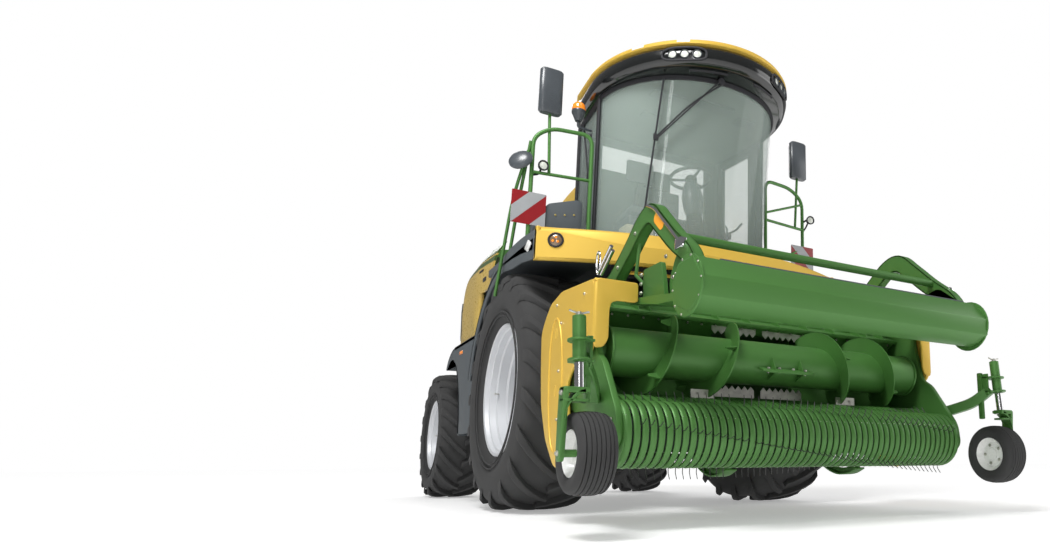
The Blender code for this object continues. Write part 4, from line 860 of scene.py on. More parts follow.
class HARVESTER_OT_header_frame(bpy.types.Operator):
    """The header's trough, end plates, beams, stripper lip, caster arms and skids"""
    bl_idname = "harvester.header_frame"
    bl_label = "Header frame"

    def execute(self, context):
        half, inner = HEADER_HALF, HEADER_HALF - PLATE
        spot = (AUGER.y, AUGER.z)
        shapes = []
        for low, high, start, stop in ((-half, -0.38, -118, 62), (0.38, half, -118, 62),
                                       (-0.38, 0.38, -118, -42), (-0.38, 0.38, 51, 62)):
            steps = max(4, int((stop - start) / 5))
            band = arc(spot, 0.335, start, stop, steps) + arc(spot, 0.329, stop, start, steps)
            shapes.append(slab(band, "X", low, high))
        shapes.append(slab([(-1.83, 1.36), (-1.64, 1.43), (-1.65, 1.46), (-1.85, 1.385)], "X", -half, half, 0.004))
        shapes.append(block((-half, -1.72, 1.385), (half, -1.58, 1.50), 0.008))
        shapes.append(block((-half, -1.76, 0.60), (half, -1.64, 0.72), 0.008))
        plate = [(-1.58, 0.58), (-1.58, 1.50), (-2.03, 1.50), (-2.04, 1.32), (-2.11, 1.03), (-2.20, 0.98),
                 (-2.44, 0.66), (-2.46, 0.50), (-2.32, 0.40), (-2.10, 0.42), (-1.75, 0.50)]
        for name, side in SIDES:
            shapes.append(slab(rounded_outline(plate, 0.05), "X", *mirrored(inner, half, side), 0.005))
            post = mirrored(0.40, 0.48, side)
            shapes.append(block((post[0], -1.64, 0.61), (post[1], -1.6005, 1.49), 0.006))
            ear = [(-1.71, 1.45), (-1.58, 1.45), (-1.38, 1.58), (-1.42, 1.66), (-1.52, 1.65), (-1.71, 1.52)]
            out = 1.121
            shapes.append(slab(rounded_outline(ear, 0.03), "X", *mirrored(out, out + 0.05, side), 0.004))
            shapes += self.caster_arm(side)
            path = smooth_line([(-2.26, 0.335), (-2.16, 0.300), (-2.02, 0.300), (-1.86, 0.37), (-1.74, 0.50),
                                (-1.69, 0.61)], 5)
            sole = strip_outline(path, [0.012] * len(path))
            shapes.append(slab(sole, "X", *mirrored(0.497, 0.583, side), 0.002))
            rib = strip_outline([p + Vector((0.01, 0.02)) for p in path], [0.05] * len(path))
            shapes.append(slab(rib, "X", *mirrored(0.532, 0.548, side), 0.002))
            x = side * 1.02
            gusset = [(-1.85, 1.375), (-1.72, 1.385), (-1.72, 1.50), (-1.60, 1.56), (-1.66, 1.60), (-1.80, 1.50)]
            shapes.append(slab(gusset, "X", x - 0.004, x + 0.004, 0.001))
        for k in range(10):
            x = -1.20 + 2.40 * k / 9
            rib = [(-1.86, 1.38), (-1.74, 1.40), (-1.72, 1.50), (-1.76, 1.50)]
            shapes.append(slab(rib, "X", x - 0.003, x + 0.003))
        shapes.append(block((-0.48, -1.66, 0.80), (0.48, -1.6005, 0.862), 0.004))
        shapes.append(block((-0.48, -1.66, 1.335), (0.48, -1.6005, 1.40), 0.004))
        shapes += self.comb()
        piece("header_frame_welded", shapes, "header", "green_paint", ["header_frame"])
        self.fittings()
        return {"FINISHED"}

    def caster_arm(self, side):
        """The swept arm to a caster, its upright tube, two collars and the bracket."""
        def at(x, y, z):
            return (side * x, y, z)
        base = pin("caster_swivel_left")
        axis = Vector(JOINTS["caster_swivel_left"]["axis"])
        axis.x, base.x = side * axis.x, side * base.x
        top = base + axis * 0.25
        section = [(0.038, 0.03), (0.03, 0.038), (-0.03, 0.038), (-0.038, 0.03), (-0.038, -0.03),
                   (-0.03, -0.038), (0.03, -0.038), (0.038, -0.03)]
        made = [tube([at(1.385, -1.99, 0.785), at(1.45, -2.22, 0.755), at(1.565, -2.46, 0.825),
                      at(1.655, -2.555, 0.93)], 0.04, 8, 0.10, section)]
        made.append(rod(base, top, 0.036, 32))
        for reach in (0.006, 0.113):
            made.append(turned([(0.034, 0), (0.062, 0), (0.062, 0.010), (0.034, 0.010)],
                               base + axis * reach, axis, 32))
        for z in (0.905, 1.015):
            ledge = [at(1.60, -2.49, 0)[:2], at(1.60, -2.62, 0)[:2], at(1.70, -2.62, 0)[:2], at(1.71, -2.49, 0)[:2]]
            made.append(slab(rounded_outline(ledge, 0.015), "Z", z, z + 0.012, 0.002))
        cheek = mirrored(1.60, 1.615, side)
        made.append(slab([(-2.49, 0.87), (-2.58, 0.88), (-2.58, 1.05), (-2.49, 1.05)], "X", *cheek, 0.002))
        made.append(slab(rounded_outline([(-2.49, 0.70), (-2.53, 0.70), (-2.53, 1.06), (-2.49, 1.06)], 0.01),
                         "X", *mirrored(1.585, 1.61, side), 0.002))
        return made

    def comb(self):
        """The stripper lip behind the pickup, slotted so that the tines pass through it."""
        count = sizes().bands
        width = 2 * (HEADER_HALF - PLATE)
        step = width / count
        made = []
        for i in range(count):
            x = -width / 2 + step * (i + 0.5)
            lip = [(-2.19, 0.735), (-2.10, 0.772), (-2.045, 0.79), (-2.05, 0.80), (-2.115, 0.782), (-2.195, 0.745)]
            made.append(slab(lip, "X", x - step * 0.36, x + step * 0.36))
        made.append(slab([(-2.03, 0.755), (-2.03, 0.80), (-1.99, 0.775), (-1.99, 0.745)], "X",
                         -width / 2, width / 2, 0.003))
        return made

    def fittings(self):
        """Galvanised knives and wear plates, screws, butterfly nuts and pins on the header."""
        teeth = []
        for low, high in ((-0.42, -0.04), (0.02, 0.40)):
            count = 7
            edge = [(low, 0.055), (high, 0.055)]
            for k in range(count):
                step = (high - low) / count
                edge += [(high - step * k, 0.0), (high - step * (k + 0.5), -0.030)]
            edge.append((low, 0.0))
            outline = [(x, 1.325 + z) for x, z in edge]
            teeth.append(slab(outline, "Y", -1.78, -1.774))
            bottom = [(x, 0.90 - z) for x, z in edge]
            teeth.append(slab(bottom, "Y", -1.755, -1.749))
        for x in (-0.62, 0.62):
            teeth.append(slab([(x - 0.09, 0.80), (x + 0.09, 0.80), (x + 0.09, 0.86), (x - 0.09, 0.86)], "Y",
                              -2.02, -2.012))
            teeth.append(slab([(x - 0.08, 0.70), (x + 0.08, 0.70), (x + 0.08, 0.795), (x - 0.08, 0.795)], "Y",
                              -2.035, -2.027))
        piece("header_wear_plates", teeth, "header", "zinc")
        heads = []
        for k in range(24):
            x = -1.30 + 2.60 * k / 23
            heads.append(Vector((x, -1.792, 1.352)))
        studs = bolts(heads, (0, -1, 0.25), 0.007)
        for side in (-1, 1):
            for x in (0.66, 0.60, 0.54):
                studs += bolts([(side * x, -2.024, 0.832)], (0, -1, 0), 0.007)
            base = pin("caster_swivel_left")
            axis = Vector(JOINTS["caster_swivel_left"]["axis"])
            axis.x, base.x = side * axis.x, side * base.x
            top = base + axis * 0.25
            studs.append(turned([(0.0, 0.0), (0.026, 0.0), (0.026, 0.006), (0.012, 0.008), (0.012, 0.024),
                                 (0.0, 0.026)], top, axis, 20))
            wing = [top + axis * 0.016 + Vector((x, 0, z)) for x, z in
                    ((-0.055, 0.012), (-0.04, 0.008), (-0.012, 0.0), (0.012, 0.0), (0.04, 0.008), (0.055, 0.012))]
            studs.append(tube(wing, 0.006, 8))
            studs += bolts([(side * 1.171, -1.45, 1.60)], (side, 0, 0), 0.022)
            studs += bolts([(side * 1.405, y, z) for y, z in ((-2.38, 0.62), (-2.10, 0.60), (-1.75, 0.60))],
                           (side, 0, 0), 0.012)
        piece("header_fasteners", studs, "header", "zinc")
        hose = []
        for x, drop in ((0.62, 0.05), (0.67, 0.03), (0.72, 0.06)):
            hose.append(tube([(x, -1.59, 1.44), (x, -1.50, 1.50), (x - 0.05, -1.30, 1.46 - drop),
                              (x - 0.16, -1.10, 1.42)], 0.012, 10, 0.12))
        piece("header_hoses", hose, "header", "hydraulic_hose")


class HARVESTER_OT_header_shields(bpy.types.Operator):
    """Pressed yellow end shields with their front flange and long embossed oval"""
    bl_idname = "harvester.header_shields"
    bl_label = "Header shields"

    def execute(self, context):
        face = [(-2.10, 1.492), (-1.524, 1.525), (-1.30, 1.475), (-1.19, 1.38), (-1.118, 1.288),
                (-1.15, 1.02), (-1.2, 0.767), (-1.328, 0.536), (-1.523, 0.358), (-1.75, 0.33),
                (-1.80, 0.50), (-1.71, 0.88), (-1.80, 0.97), (-2.10, 1.03), (-2.134, 1.10), (-2.134, 1.44)]
        for name, side in SIDES:
            low, high = HEADER_HALF + 0.020, HEADER_HALF + 0.045
            shapes = [slab(rounded_outline(face, 0.05, 6), "X", *mirrored(low, high, side), 0.009, 3)]
            shapes.append(rod((side * (high - 0.02), -2.130, 1.085), (side * (high - 0.02), -2.130, 1.47), 0.020, 24,
                              bevel=0.008))
            flange = [(high - 0.012, 1.06), (high - 0.012, 1.492), (1.16, 1.492), (1.16, 1.37), (1.185, 1.362),
                      (1.30, 1.362), (1.335, 1.345), (1.345, 1.30), (1.345, 1.12), (1.375, 1.065)]
            flange = rounded_outline([(side * x, z) for x, z in flange], 0.025, 5)
            shapes.append(slab(flange, "Y", -2.15, -2.128, 0.007, 3))
            roof = [(-2.15, 1.470), (-2.05, 1.470), (-2.045, 1.488), (-2.14, 1.492)]
            shapes.append(slab(roof, "X", *mirrored(1.165, high - 0.003, side), 0.005))
            shapes += self.emboss(side, high)
            piece(f"header_shield_pressed_{name}", shapes, "header", "yellow_paint",
                  [f"header_shield_{name}"])
            x = side * (high + 0.001)
            spots = [(x, -1.98, 1.42), (x, -1.45, 1.44), (x, -1.56, 1.30), (x, -1.55, 0.98), (x, -1.56, 0.66),
                     (x, -1.66, 0.42)]
            piece(f"shield_screws_{name}", bolts(spots, (side, 0, 0), 0.009), "header", "zinc")
        return {"FINISHED"}

    def emboss(self, side, out):
        """A long raised oval on the shield's face, and a short slot inside it."""
        made = []
        for reach, rise, radius, level in ((0.135, 0.45, 0.009, 0.0), (0.018, 0.035, 0.004, 0.34),
                                           (0.018, 0.035, 0.004, -0.05)):
            loop = []
            for i in range(41):
                a = math.tau * i / 40
                z = 0.90 + level + rise * math.copysign(abs(math.sin(a)) ** 0.8, math.sin(a))
                y = -1.485 + reach * math.cos(a) + 0.10 * (z - 0.95)
                loop.append((side * (out - 0.002), y, z))
            made.append(tube(loop, radius, 8))
        return made


class HARVESTER_OT_auger(bpy.types.Operator):
    """The cross auger with opposed flights, stiffening fins and a bolted paddle"""
    bl_idname = "harvester.auger"
    bl_label = "Auger"

    def execute(self, context):
        y, z = AUGER.y, AUGER.z
        inner = HEADER_HALF - PLATE - 0.0003
        shapes = [rod((-1.30, y, z), (1.30, y, z), 0.157, 64), rod((-inner, y, z), (inner, y, z), 0.06, 24)]
        for end in (-1, 1):
            shapes.append(turned([(0.0, 0.0), (0.165, 0.0), (0.17, 0.008), (0.165, 0.016), (0.0, 0.016)],
                                 (end * 1.286, y, z), (end, 0, 0), 48))
            shapes += self.flight(end, y, z)
        for k in range(2):
            shapes += self.paddle(y, z, math.radians(200 + 180 * k))
        piece("auger_with_flights", shapes, "auger", "green_paint", ["auger"])
        heads = []
        for k in range(2):
            turn = math.radians(200 + 180 * k)
            out = Vector((0, math.cos(turn), math.sin(turn)))
            across = Vector((0, -math.sin(turn), math.cos(turn)))
            for side in (-1, 1):
                for x, r in ((-0.16, 0.175), (-0.06, 0.175), (0.06, 0.175), (0.16, 0.175)):
                    head = Vector((x, y, z)) + out * (r + 0.012 * (abs(x) > 0.1)) + across * 0.012 * side
                    heads += bolts([head], across * side, 0.010)
        piece("auger_paddle_bolts", heads, "auger", "zinc")
        return {"FINISHED"}

    def flight(self, end, y, z):
        """One hand of flighting with a rolled edge, and the fins behind it."""
        pitch, turns, steps, phase = 0.46, 2.0, 44, 0.956
        rings, made = [], []
        for i in range(int(turns * steps) + 1):
            angle = phase - math.tau * i / steps
            x = 1.24 - pitch * i / steps
            ring = []
            for r, off in ((0.15, -0.004), (0.262, -0.0035), (0.2745, -0.006), (0.2745, 0.004), (0.262, 0.0035),
                           (0.15, 0.004)):
                ring.append((end * (x + off), y + r * math.cos(angle), z + r * math.sin(angle)))
            rings.append(ring)
        made.append(loft(rings))
        for k in range(5):
            along = 0.15 + 0.385 * k
            angle = phase - math.tau * along
            x = 1.244 - pitch * along
            out = Vector((0, math.cos(angle), math.sin(angle)))
            side = Vector((0, -math.sin(angle), math.cos(angle))) * 0.004
            base = Vector((end * x, y, z))
            corners = [out * 0.205, out * 0.266, out * 0.245 + Vector((end * 0.070, 0, 0)),
                       out * 0.225 + Vector((end * 0.072, 0, 0))]
            made.append(loft([[base + c - side for c in corners], [base + c + side for c in corners]]))
        return made

    def paddle(self, y, z, turn):
        out = Vector((0, math.cos(turn), math.sin(turn)))
        across = Vector((0, -math.sin(turn), math.cos(turn)))
        middle = Vector((0, y, z))
        corners = [(-0.22, 0.15), (-0.22, 0.215), (-0.16, 0.245), (0.16, 0.245), (0.22, 0.215), (0.22, 0.15)]
        plate = [[middle + Vector((x, 0, 0)) + out * r + across * t for x, r in corners] for t in (-0.008, 0.008)]
        made = [softened(loft(plate), 0.003, 2)]
        for x in (-0.12, 0.12):
            web = [out * 0.15 - across * 0.085, out * 0.15 + across * 0.085, out * 0.225 + across * 0.006,
                   out * 0.225 - across * 0.006]
            base = middle + Vector((x, 0, 0))
            made.append(loft([[base + w - Vector((0.004, 0, 0)) for w in web],
                              [base + w + Vector((0.004, 0, 0)) for w in web]]))
        return made


class HARVESTER_OT_pickup(bpy.types.Operator):
    """The pickup: curved bands, and the reel whose tines pass between them"""
    bl_idname = "harvester.pickup"
    bl_label = "Pickup"

    def execute(self, context):
        y, z = PICKUP.y, PICKUP.z
        width = 2 * (HEADER_HALF - PLATE - 0.0003)
        count = sizes().bands
        step = width / count
        radius = 0.197
        bands = []
        for i in range(count):
            x = -width / 2 + step * (i + 0.5)
            half = step * 0.375
            section = [(-half, 0.010), (-half, 0.002), (-half + 0.004, -0.001), (0, -0.0035), (half - 0.004, -0.001),
                       (half, 0.002), (half, 0.010), (half - 0.002, 0.010), (0, 0.0005), (-half + 0.002, 0.010)]
            rings = []
            for k in range(27):
                a = math.radians(40 + 260 * k / 26)
                rings.append([(x + u, y + (radius - v) * math.cos(a), z + (radius - v) * math.sin(a))
                              for u, v in section])
            bands.append(loft(rings))
        for end in (-1, 1):
            disc = arc((y, z), radius - 0.004, 0, 345, 23)
            bands.append(slab(disc, "X", *mirrored(width / 2 - 0.012, width / 2, end), 0.002))
        piece("pickup_bands_curved", bands, "header", "green_paint", ["pickup_bands"])
        screws = []
        for i in range(count):
            x = -width / 2 + step * (i + 0.5)
            for a in (math.radians(150), math.radians(262)):
                out = Vector((0, math.cos(a), math.sin(a)))
                for u in (-0.012,):
                    screws += bolts([Vector((x + u, y, z)) + out * radius], out, 0.0035, False)
        piece("pickup_band_screws", screws, "header", "zinc")
        self.reel(y, z, width, step, count)
        return {"FINISHED"}

    def reel(self, y, z, width, step, count):
        reach = sizes().tine_reach
        core = [rod((-1.33, y, z), (1.33, y, z), 0.104, 40), rod((-width / 2, y, z), (width / 2, y, z), 0.03, 20)]
        for k in range(5):
            x = -1.29 + 2.58 * k / 4
            core.append(rod((x - 0.004, y, z), (x + 0.004, y, z), 0.145, 36))
        tines = []
        twist = 0.62
        for k in range(4):
            start = math.radians(30 + 90 * k)

            def angle(x):
                return start + twist * x
            route = []
            for i in range(25):
                x = -1.28 + 2.56 * i / 24
                route.append((x, y + 0.126 * math.cos(angle(x)), z + 0.126 * math.sin(angle(x))))
            core.append(tube(route, 0.016, 10))
            for i in range(1, count):
                x = -width / 2 + step * i
                if abs(abs(x) - 0.54) < 0.045 or abs(x) > 1.27:
                    continue
                a = angle(x)
                out = Vector((0, math.cos(a), math.sin(a)))
                back = Vector((0, -math.sin(a), math.cos(a)))
                base = Vector((x, y, z))
                points = [base + out * 0.115 - back * 0.012, base + out * 0.17, base + out * 0.225 + back * 0.004,
                          base + out * (reach - 0.006) - back * 0.012]
                tines.append(tube(points, 0.0028, 6))
                tines.append(turned([(0.0155, -0.010), (0.021, -0.010), (0.021, 0.010), (0.0155, 0.010)],
                                    base + out * 0.126, (1, 0, 0), 10))
        piece("pickup_reel_core", core, "pickup_reel", "chassis_paint", ["pickup_reel"])
        piece("pickup_tines", tines, "pickup_reel", "steel")


class HARVESTER_OT_crop_press(bpy.types.Operator):
    """The swinging crop guard: swan-neck arms, cross tube, faceted hood and its flanges"""
    bl_idname = "harvester.crop_press"
    bl_label = "Crop press"

    def execute(self, context):
        hood = [(-2.868, 1.502), (-2.974, 1.369), (-2.962, 1.259), (-2.89, 1.211), (-2.811, 1.19),
                (-2.68, 1.25), (-2.63, 1.39), (-2.70, 1.49)]
        shapes = [slab(hood, "X", -1.165, 1.165, 0.006)]
        centre = Vector((-2.80, 1.345))
        path = smooth_line([(-1.45, 1.60), (-1.62, 1.66), (-1.86, 1.80), (-2.05, 1.925), (-2.20, 1.945),
                            (-2.34, 1.84), (-2.52, 1.69), (-2.70, 1.56), (-2.78, 1.46)], 5)
        count = len(path)
        widths = [0.105 + 0.03 * math.sin(math.pi * i / (count - 1)) for i in range(count)]
        for side in (-1, 1):
            x0, x1 = mirrored(1.05, 1.12, side)
            outline = strip_outline(path, widths)
            for low, high in ((x0, x0 + 0.012), (x1 - 0.012, x1)):
                shapes.append(slab(outline, "X", low, high, 0.002))
            for reach, lift in ((0.5, 0.0), (-0.5, 0.0)):
                rim = []
                for i, point in enumerate(path):
                    ahead = (path[min(i + 1, count - 1)] - path[max(i - 1, 0)]).normalized()
                    across = Vector((-ahead.y, ahead.x))
                    rim.append((point + across * (widths[i] * reach - 0.006 * math.copysign(1, reach)), across))
                rings = [[(x0, *(p - a * 0.006)), (x1, *(p - a * 0.006)), (x1, *(p + a * 0.006)),
                          (x0, *(p + a * 0.006))] for p, a in rim]
                shapes.append(softened(loft(rings), 0.002, 1))
            for i in (0, count - 1):
                shapes.append(rod((x0, *path[i]), (x1, *path[i]), widths[i] / 2, 28, bevel=0.003))
            plate = rounded_outline([(-2.47, 1.62), (-2.62, 1.66), (-2.84, 1.50), (-2.92, 1.34), (-2.86, 1.22),
                                     (-2.70, 1.23), (-2.56, 1.31), (-2.40, 1.36), (-2.38, 1.47)], 0.05)
            shapes.append(slab(plate, "X", *mirrored(1.05, 1.064, side), 0.003))
            pocket = rounded_outline([(-2.08, 1.60), (-2.34, 1.60), (-2.40, 1.36), (-2.08, 1.40)], 0.02)
            shapes.append(slab(pocket, "X", *mirrored(1.07, 1.10, side), 0.004))
            ring = [(centre.x + (0.176 + 0.004 * k) * math.cos(a), centre.y + (0.176 + 0.004 * k) * math.sin(a))
                    for k in (1,) for a in (math.tau * i / 28 for i in range(28))]
            shapes.append(slab(ring, "X", *mirrored(1.150, 1.162, side), 0.003))
            shapes += self.brace(side)
        shapes.append(rod((-1.10, -2.55, 1.705), (1.10, -2.55, 1.705), 0.0275, 28))
        piece("crop_press_welded", shapes, "crop_press", "green_paint", ["crop_press"], 21)
        self.fittings(centre)
        return {"FINISHED"}

    def brace(self, side):
        """Struts and the ledge that tie the arm to the hood."""
        x = side * 1.085
        made = [tube([(x, -1.98, 1.84), (x, -1.95, 1.70), (x, -1.93, 1.60)], 0.012, 10),
                tube([(x, -1.93, 1.60), (x, -2.08, 1.50)], 0.012, 10)]
        ledge = rounded_outline([(-1.90, 1.43), (-1.92, 1.40), (-2.40, 1.31), (-2.64, 1.29), (-2.60, 1.34),
                                 (-2.38, 1.37)], 0.01)
        made.append(slab(ledge, "X", *mirrored(1.02, 1.15, side), 0.003))
        return made

    def fittings(self, centre):
        strip = [slab([(-2.705, 1.492), (-2.71, 1.500), (-2.86, 1.511), (-2.862, 1.503)], "X", -0.98, 1.04)]
        piece("crop_press_strip", strip, "crop_press", "dark_plastic")
        bright, heads, latches = [], [], []
        for side in (-1, 1):
            x = side * 1.128
            route = [(x, -2.17, 2.005), (x, -2.28, 1.955), (x, -2.60, 1.675), (x, -2.70, 1.60)]
            bright.append(tube(route, 0.011, 12, 0.06))
            bright.append(block((x - 0.022, -2.69, 1.595), (x + 0.022, -2.61, 1.66), 0.006))
            loop = [(side * 1.15, -1.27 + 0.035 * math.cos(a), 1.80 + 0.085 * math.sin(a)) for a in
                    (math.tau * i / 20 for i in range(21))]
            latches.append(tube([(p[0], p[1] - 0.13, p[2]) for p in loop], 0.007, 8))
            for y0, z0, y1, z1 in ((-1.46, 1.70, -1.66, 1.83), (-1.43, 1.74, -1.63, 1.87)):
                latches.append(rod((side * 1.145, y0, z0), (side * 1.145, y1, z1), 0.014, 14))
            spots = [(-1.70, 1.70), (-1.98, 1.87), (-2.45, 1.60), (-2.55, 1.45), (-2.60, 1.33), (-2.10, 1.56),
                     (-2.10, 1.50), (-2.10, 1.44)]
            for y, z in spots:
                heads += bolts([(side * 1.121, y, z)], (side, 0, 0), 0.011)
            for k in range(9):
                a = math.radians(-70 + 35 * k)
                heads += bolts([(side * 1.162, centre.x + 0.168 * math.cos(a), centre.y + 0.168 * math.sin(a))],
                               (side, 0, 0), 0.006)
        piece("crop_press_bright_parts", bright, "crop_press", "chrome_rod")
        piece("header_latch_springs", latches, "header", "chrome_rod")
        piece("crop_press_bolts", heads, "crop_press", "zinc")
        labels = [bar((-2.30, 1.885), (-2.37, 1.825), 0.07, *mirrored(1.121, 1.1225, side), 0.0)
                  for side in (-1, 1)]
        piece("crop_press_marks", labels, "crop_press", "caution_orange")


# ---- front body ----
def front_curve(side_y, bulge, half, count=36):
    points = []
    for i in range(count + 1):
        x = half * (2 * i / count - 1)
        points.append((x, side_y - bulge * (1 - (x / half) ** 2)))
    return points


class HARVESTER_OT_front_body(bpy.types.Operator):
    """The curved bumper with its lamps and grille, the deck, the side box and the front guards"""
    bl_idname = "harvester.front_body"
    bl_label = "Front body"

    def execute(self, context):
        self.bumper()
        self.deck()
        self.guards()
        return {"FINISHED"}

    def bumper(self):
        low, high = cad("front_bumper")
        half = high.x
        rings = []
        for x, y in front_curve(-0.90, 0.36, half):
            share = abs(x) / half
            crease = high.z - 0.045 - 0.07 * min(1.0, max(0.0, (0.92 - share) / 0.35))
            depth = 0.12 - 0.08 * share ** 2
            rings.append([(x, y + 0.018, low.z), (x, y, low.z + 0.02), (x, y + 0.002, crease - 0.004),
                          (x, y + 0.010, crease + 0.004), (x, y + 0.020, high.z - 0.03),
                          (x, y + 0.034, high.z - 0.008), (x, y + 0.055, high.z), (x, y + depth, high.z),
                          (x, y + depth, high.z - 0.02), (x, y + 0.06, high.z - 0.02),
                          (x, y + 0.03, low.z + 0.02), (x, y + 0.05, low.z)])
        shapes = [loft(rings)]
        for side in (-1, 1):
            cheek = rounded_outline([(-0.90, low.z), (-0.90, high.z), (-0.855, high.z), (-0.855, low.z)], 0.015)
            shapes.append(slab(cheek, "X", *mirrored(half - 0.03, half, side), 0.008, 3))
        piece("bumper_shell", shapes, "chassis", "yellow_paint", ["front_bumper"])
        bezels, lenses, pins = [], [], []
        for side in (-1, 1):
            x = side * 1.33
            y = -0.90 - 0.36 * (1 - (1.33 / half) ** 2)
            out = Vector((side * 0.42, -0.91, 0)).normalized()
            spot = Vector((x, y, 2.055))
            bezels.append(turned([(0.046, -0.012), (0.060, -0.004), (0.060, 0.006), (0.052, 0.012), (0.045, 0.006)],
                                 spot, out, 32))
            lenses.append(turned([(0.0, -0.004), (0.047, -0.004), (0.047, 0.002), (0.03, 0.009), (0.0, 0.012)],
                                 spot, out, 32))
            for k in range(3):
                a = math.tau * k / 3 + 0.4
                first, second = around(out)
                pins.append(spot + out * 0.010 + 0.022 * (math.cos(a) * first + math.sin(a) * second))
        piece("indicator_bezels", bezels, "chassis", "black_trim")
        piece("indicator_lenses", lenses, "chassis", "smoked_lens")
        piece("indicator_bulbs", [turned([(0.0, -0.002), (0.010, -0.002), (0.010, 0.004), (0.0, 0.008)], p,
                                         (p.x, -1.0, 0), 12) for p in pins], "chassis", "amber_lens")
        slats, backing = [], []
        for i, z in enumerate((1.84, 1.90, 1.96, 2.02, 2.08)):
            line = [(x, y + 0.055 + 0.018 * (i % 2)) for x, y in front_curve(-0.90, 0.36, half) if abs(x) < 0.95]
            rings = [[(x, y, z), (x, y + 0.03, z + 0.028), (x, y + 0.038, z + 0.024), (x, y + 0.008, z - 0.006)]
                     for x, y in line]
            (backing if i % 2 else slats).append(loft(rings))
        piece("grille_slats_yellow", slats, "chassis", "yellow_paint")
        net = [(x, y) for x, y in front_curve(-0.80, 0.33, half) if abs(x) < 0.95]
        backing.append(loft([[(x, y, 1.82), (x, y + 0.01, 1.82), (x, y + 0.01, 2.10), (x, y, 2.10)]
                             for x, y in net]))
        piece("grille_backing", backing, "chassis", "black_trim")

    def deck(self):
        low, high = cad("platform")
        top = 2.15
        front = front_curve(-0.86, 0.27, high.x)
        outline = front + [(high.x, 1.50), (0.66, 1.50), (0.66, 0.62), (low.x, 0.62)]
        shapes = [slab(outline, "Z", low.z, top, 0.006)]
        side_face = [(-1.26, top - 0.01), (-0.95, top - 0.01), (-0.95, 2.60), (-1.00, 2.612), (-1.235, 2.535),
                     (-1.26, 2.51)]
        shapes.append(slab(rounded_outline(side_face, 0.02), "Y", -0.43, 0.05, 0.008))
        piece("deck_and_side_box", shapes, "chassis", "dark_plastic", ["platform"])
        dots = [turned([(0.0, 0.0), (0.009, 0.0), (0.006, 0.004), (0.0, 0.005)], (x, -0.431, z), (0, -1, 0), 14)
                for x, z in ((-1.18, 2.44), (-1.10, 2.455), (-1.02, 2.47))]
        piece("side_box_dots", dots, "chassis", "brass_dot")
        treads = []
        for row in range(9):
            for k in range(4):
                spot = Vector((-1.36 + 0.11 * k + 0.03 * (row % 2), 0.10 + 0.055 * row, top))
                treads.append(bar((spot.y, spot.z + 0.001), (spot.y + 0.028, spot.z + 0.001), 0.006,
                                  spot.x - 0.003, spot.x + 0.003, 0.0, 3))
        piece("deck_tread_bars", treads, "chassis", "dark_plastic")

    def guards(self):
        low, high = cad("front_fender_left")
        top, middle = high.z, AXLE.z
        outer, inner = top - middle, top - middle - 0.030
        ring = [(math.sin(a), math.cos(a)) for a in (math.radians(t) for t in range(0, 84, 3))]
        outline = [(-0.86, top)] + [(outer * s, middle + outer * c) for s, c in ring]
        outline += [(inner * s, middle + inner * c) for s, c in reversed(ring)]
        outline += [(-0.25, top - 0.036), (-0.55, top - 0.06), (-0.84, top - 0.10), (-0.86, top - 0.10)]
        brow = smooth_line([(-0.86, 2.14), (-0.48, 2.165), (-0.03, 2.148), (0.30, 2.075), (0.52, 1.965)], 5)
        deep = outer - 0.082
        skirt = [tuple(p) for p in brow] + [(outer * s, middle + outer * c) for s, c in ring if s > 0.56]
        skirt += [(deep * s, middle + deep * c) for s, c in reversed(ring)]
        skirt += [(-0.25, top - 0.115), (-0.55, top - 0.130), (-0.80, top - 0.165), (-0.86, top - 0.17)]
        lamps = []
        for name, side in SIDES:
            shapes = [slab(outline, "X", *mirrored(low.x, high.x, side), 0.004),
                      slab(skirt, "X", *mirrored(high.x - 0.020, high.x, side), 0.007)]
            piece(f"front_guard_{name}", shapes, "chassis", "dark_plastic", [f"front_fender_{name}"])
            x = side * high.x
            lozenge = [(-0.82, 2.044), (-0.73, 2.094), (-0.64, 2.044), (-0.73, 1.994)]
            lamps.append(slab(rounded_outline(lozenge, 0.012), "X", *mirrored(x - 0.002, x + 0.006, 1)
                              if side > 0 else (x - 0.006, x + 0.002), 0.003))
        piece("guard_reflectors", lamps, "chassis", "reflector")


# ---- cab ----
CAB_FRONT_Y, CAB_HALF, CAB_REAR_Y, CAB_REAR_HALF = -0.45, 0.86, 0.27, 0.80
FLOOR_Z, ROOF_Z = 2.15, 3.60
NOSE_LOW, NOSE_HIGH = 0.50, 0.88
WALL = 0.05
PANE = (0.019, 0.031)


def nose(z):
    return NOSE_LOW + (NOSE_HIGH - NOSE_LOW) * (z - FLOOR_Z) / (ROOF_Z - FLOOR_Z)


def cab_round(z, inset, start=0.0, stop=180.0, count=48):
    points = []
    for i in range(count + 1):
        a = math.radians(start + (stop - start) * i / count)
        points.append(((CAB_HALF - inset) * math.cos(a), CAB_FRONT_Y - (nose(z) - inset) * math.sin(a)))
    return points


def cab_ring(z, inset=0.0):
    back, half = CAB_REAR_Y - inset, CAB_REAR_HALF - inset
    rear = rounded_outline([(-half, CAB_FRONT_Y), (-half, back), (half, back), (half, CAB_FRONT_Y)], 0.05)[6:18]
    return [(x, y, z) for x, y in cab_round(z, inset) + rear]


def side_x(y, depth):
    slope = (CAB_HALF - CAB_REAR_HALF) / (CAB_REAR_Y - CAB_FRONT_Y)
    return CAB_HALF - slope * (y - CAB_FRONT_Y) - depth


def side_sheet(side, y0, y1, z0, z1, d0, d1, bevel=0.0):
    ring = [(side * side_x(y, d), y) for y, d in ((y0, d0), (y1, d0), (y1, d1), (y0, d1))]
    return slab(ring, "Z", z0, z1, bevel)


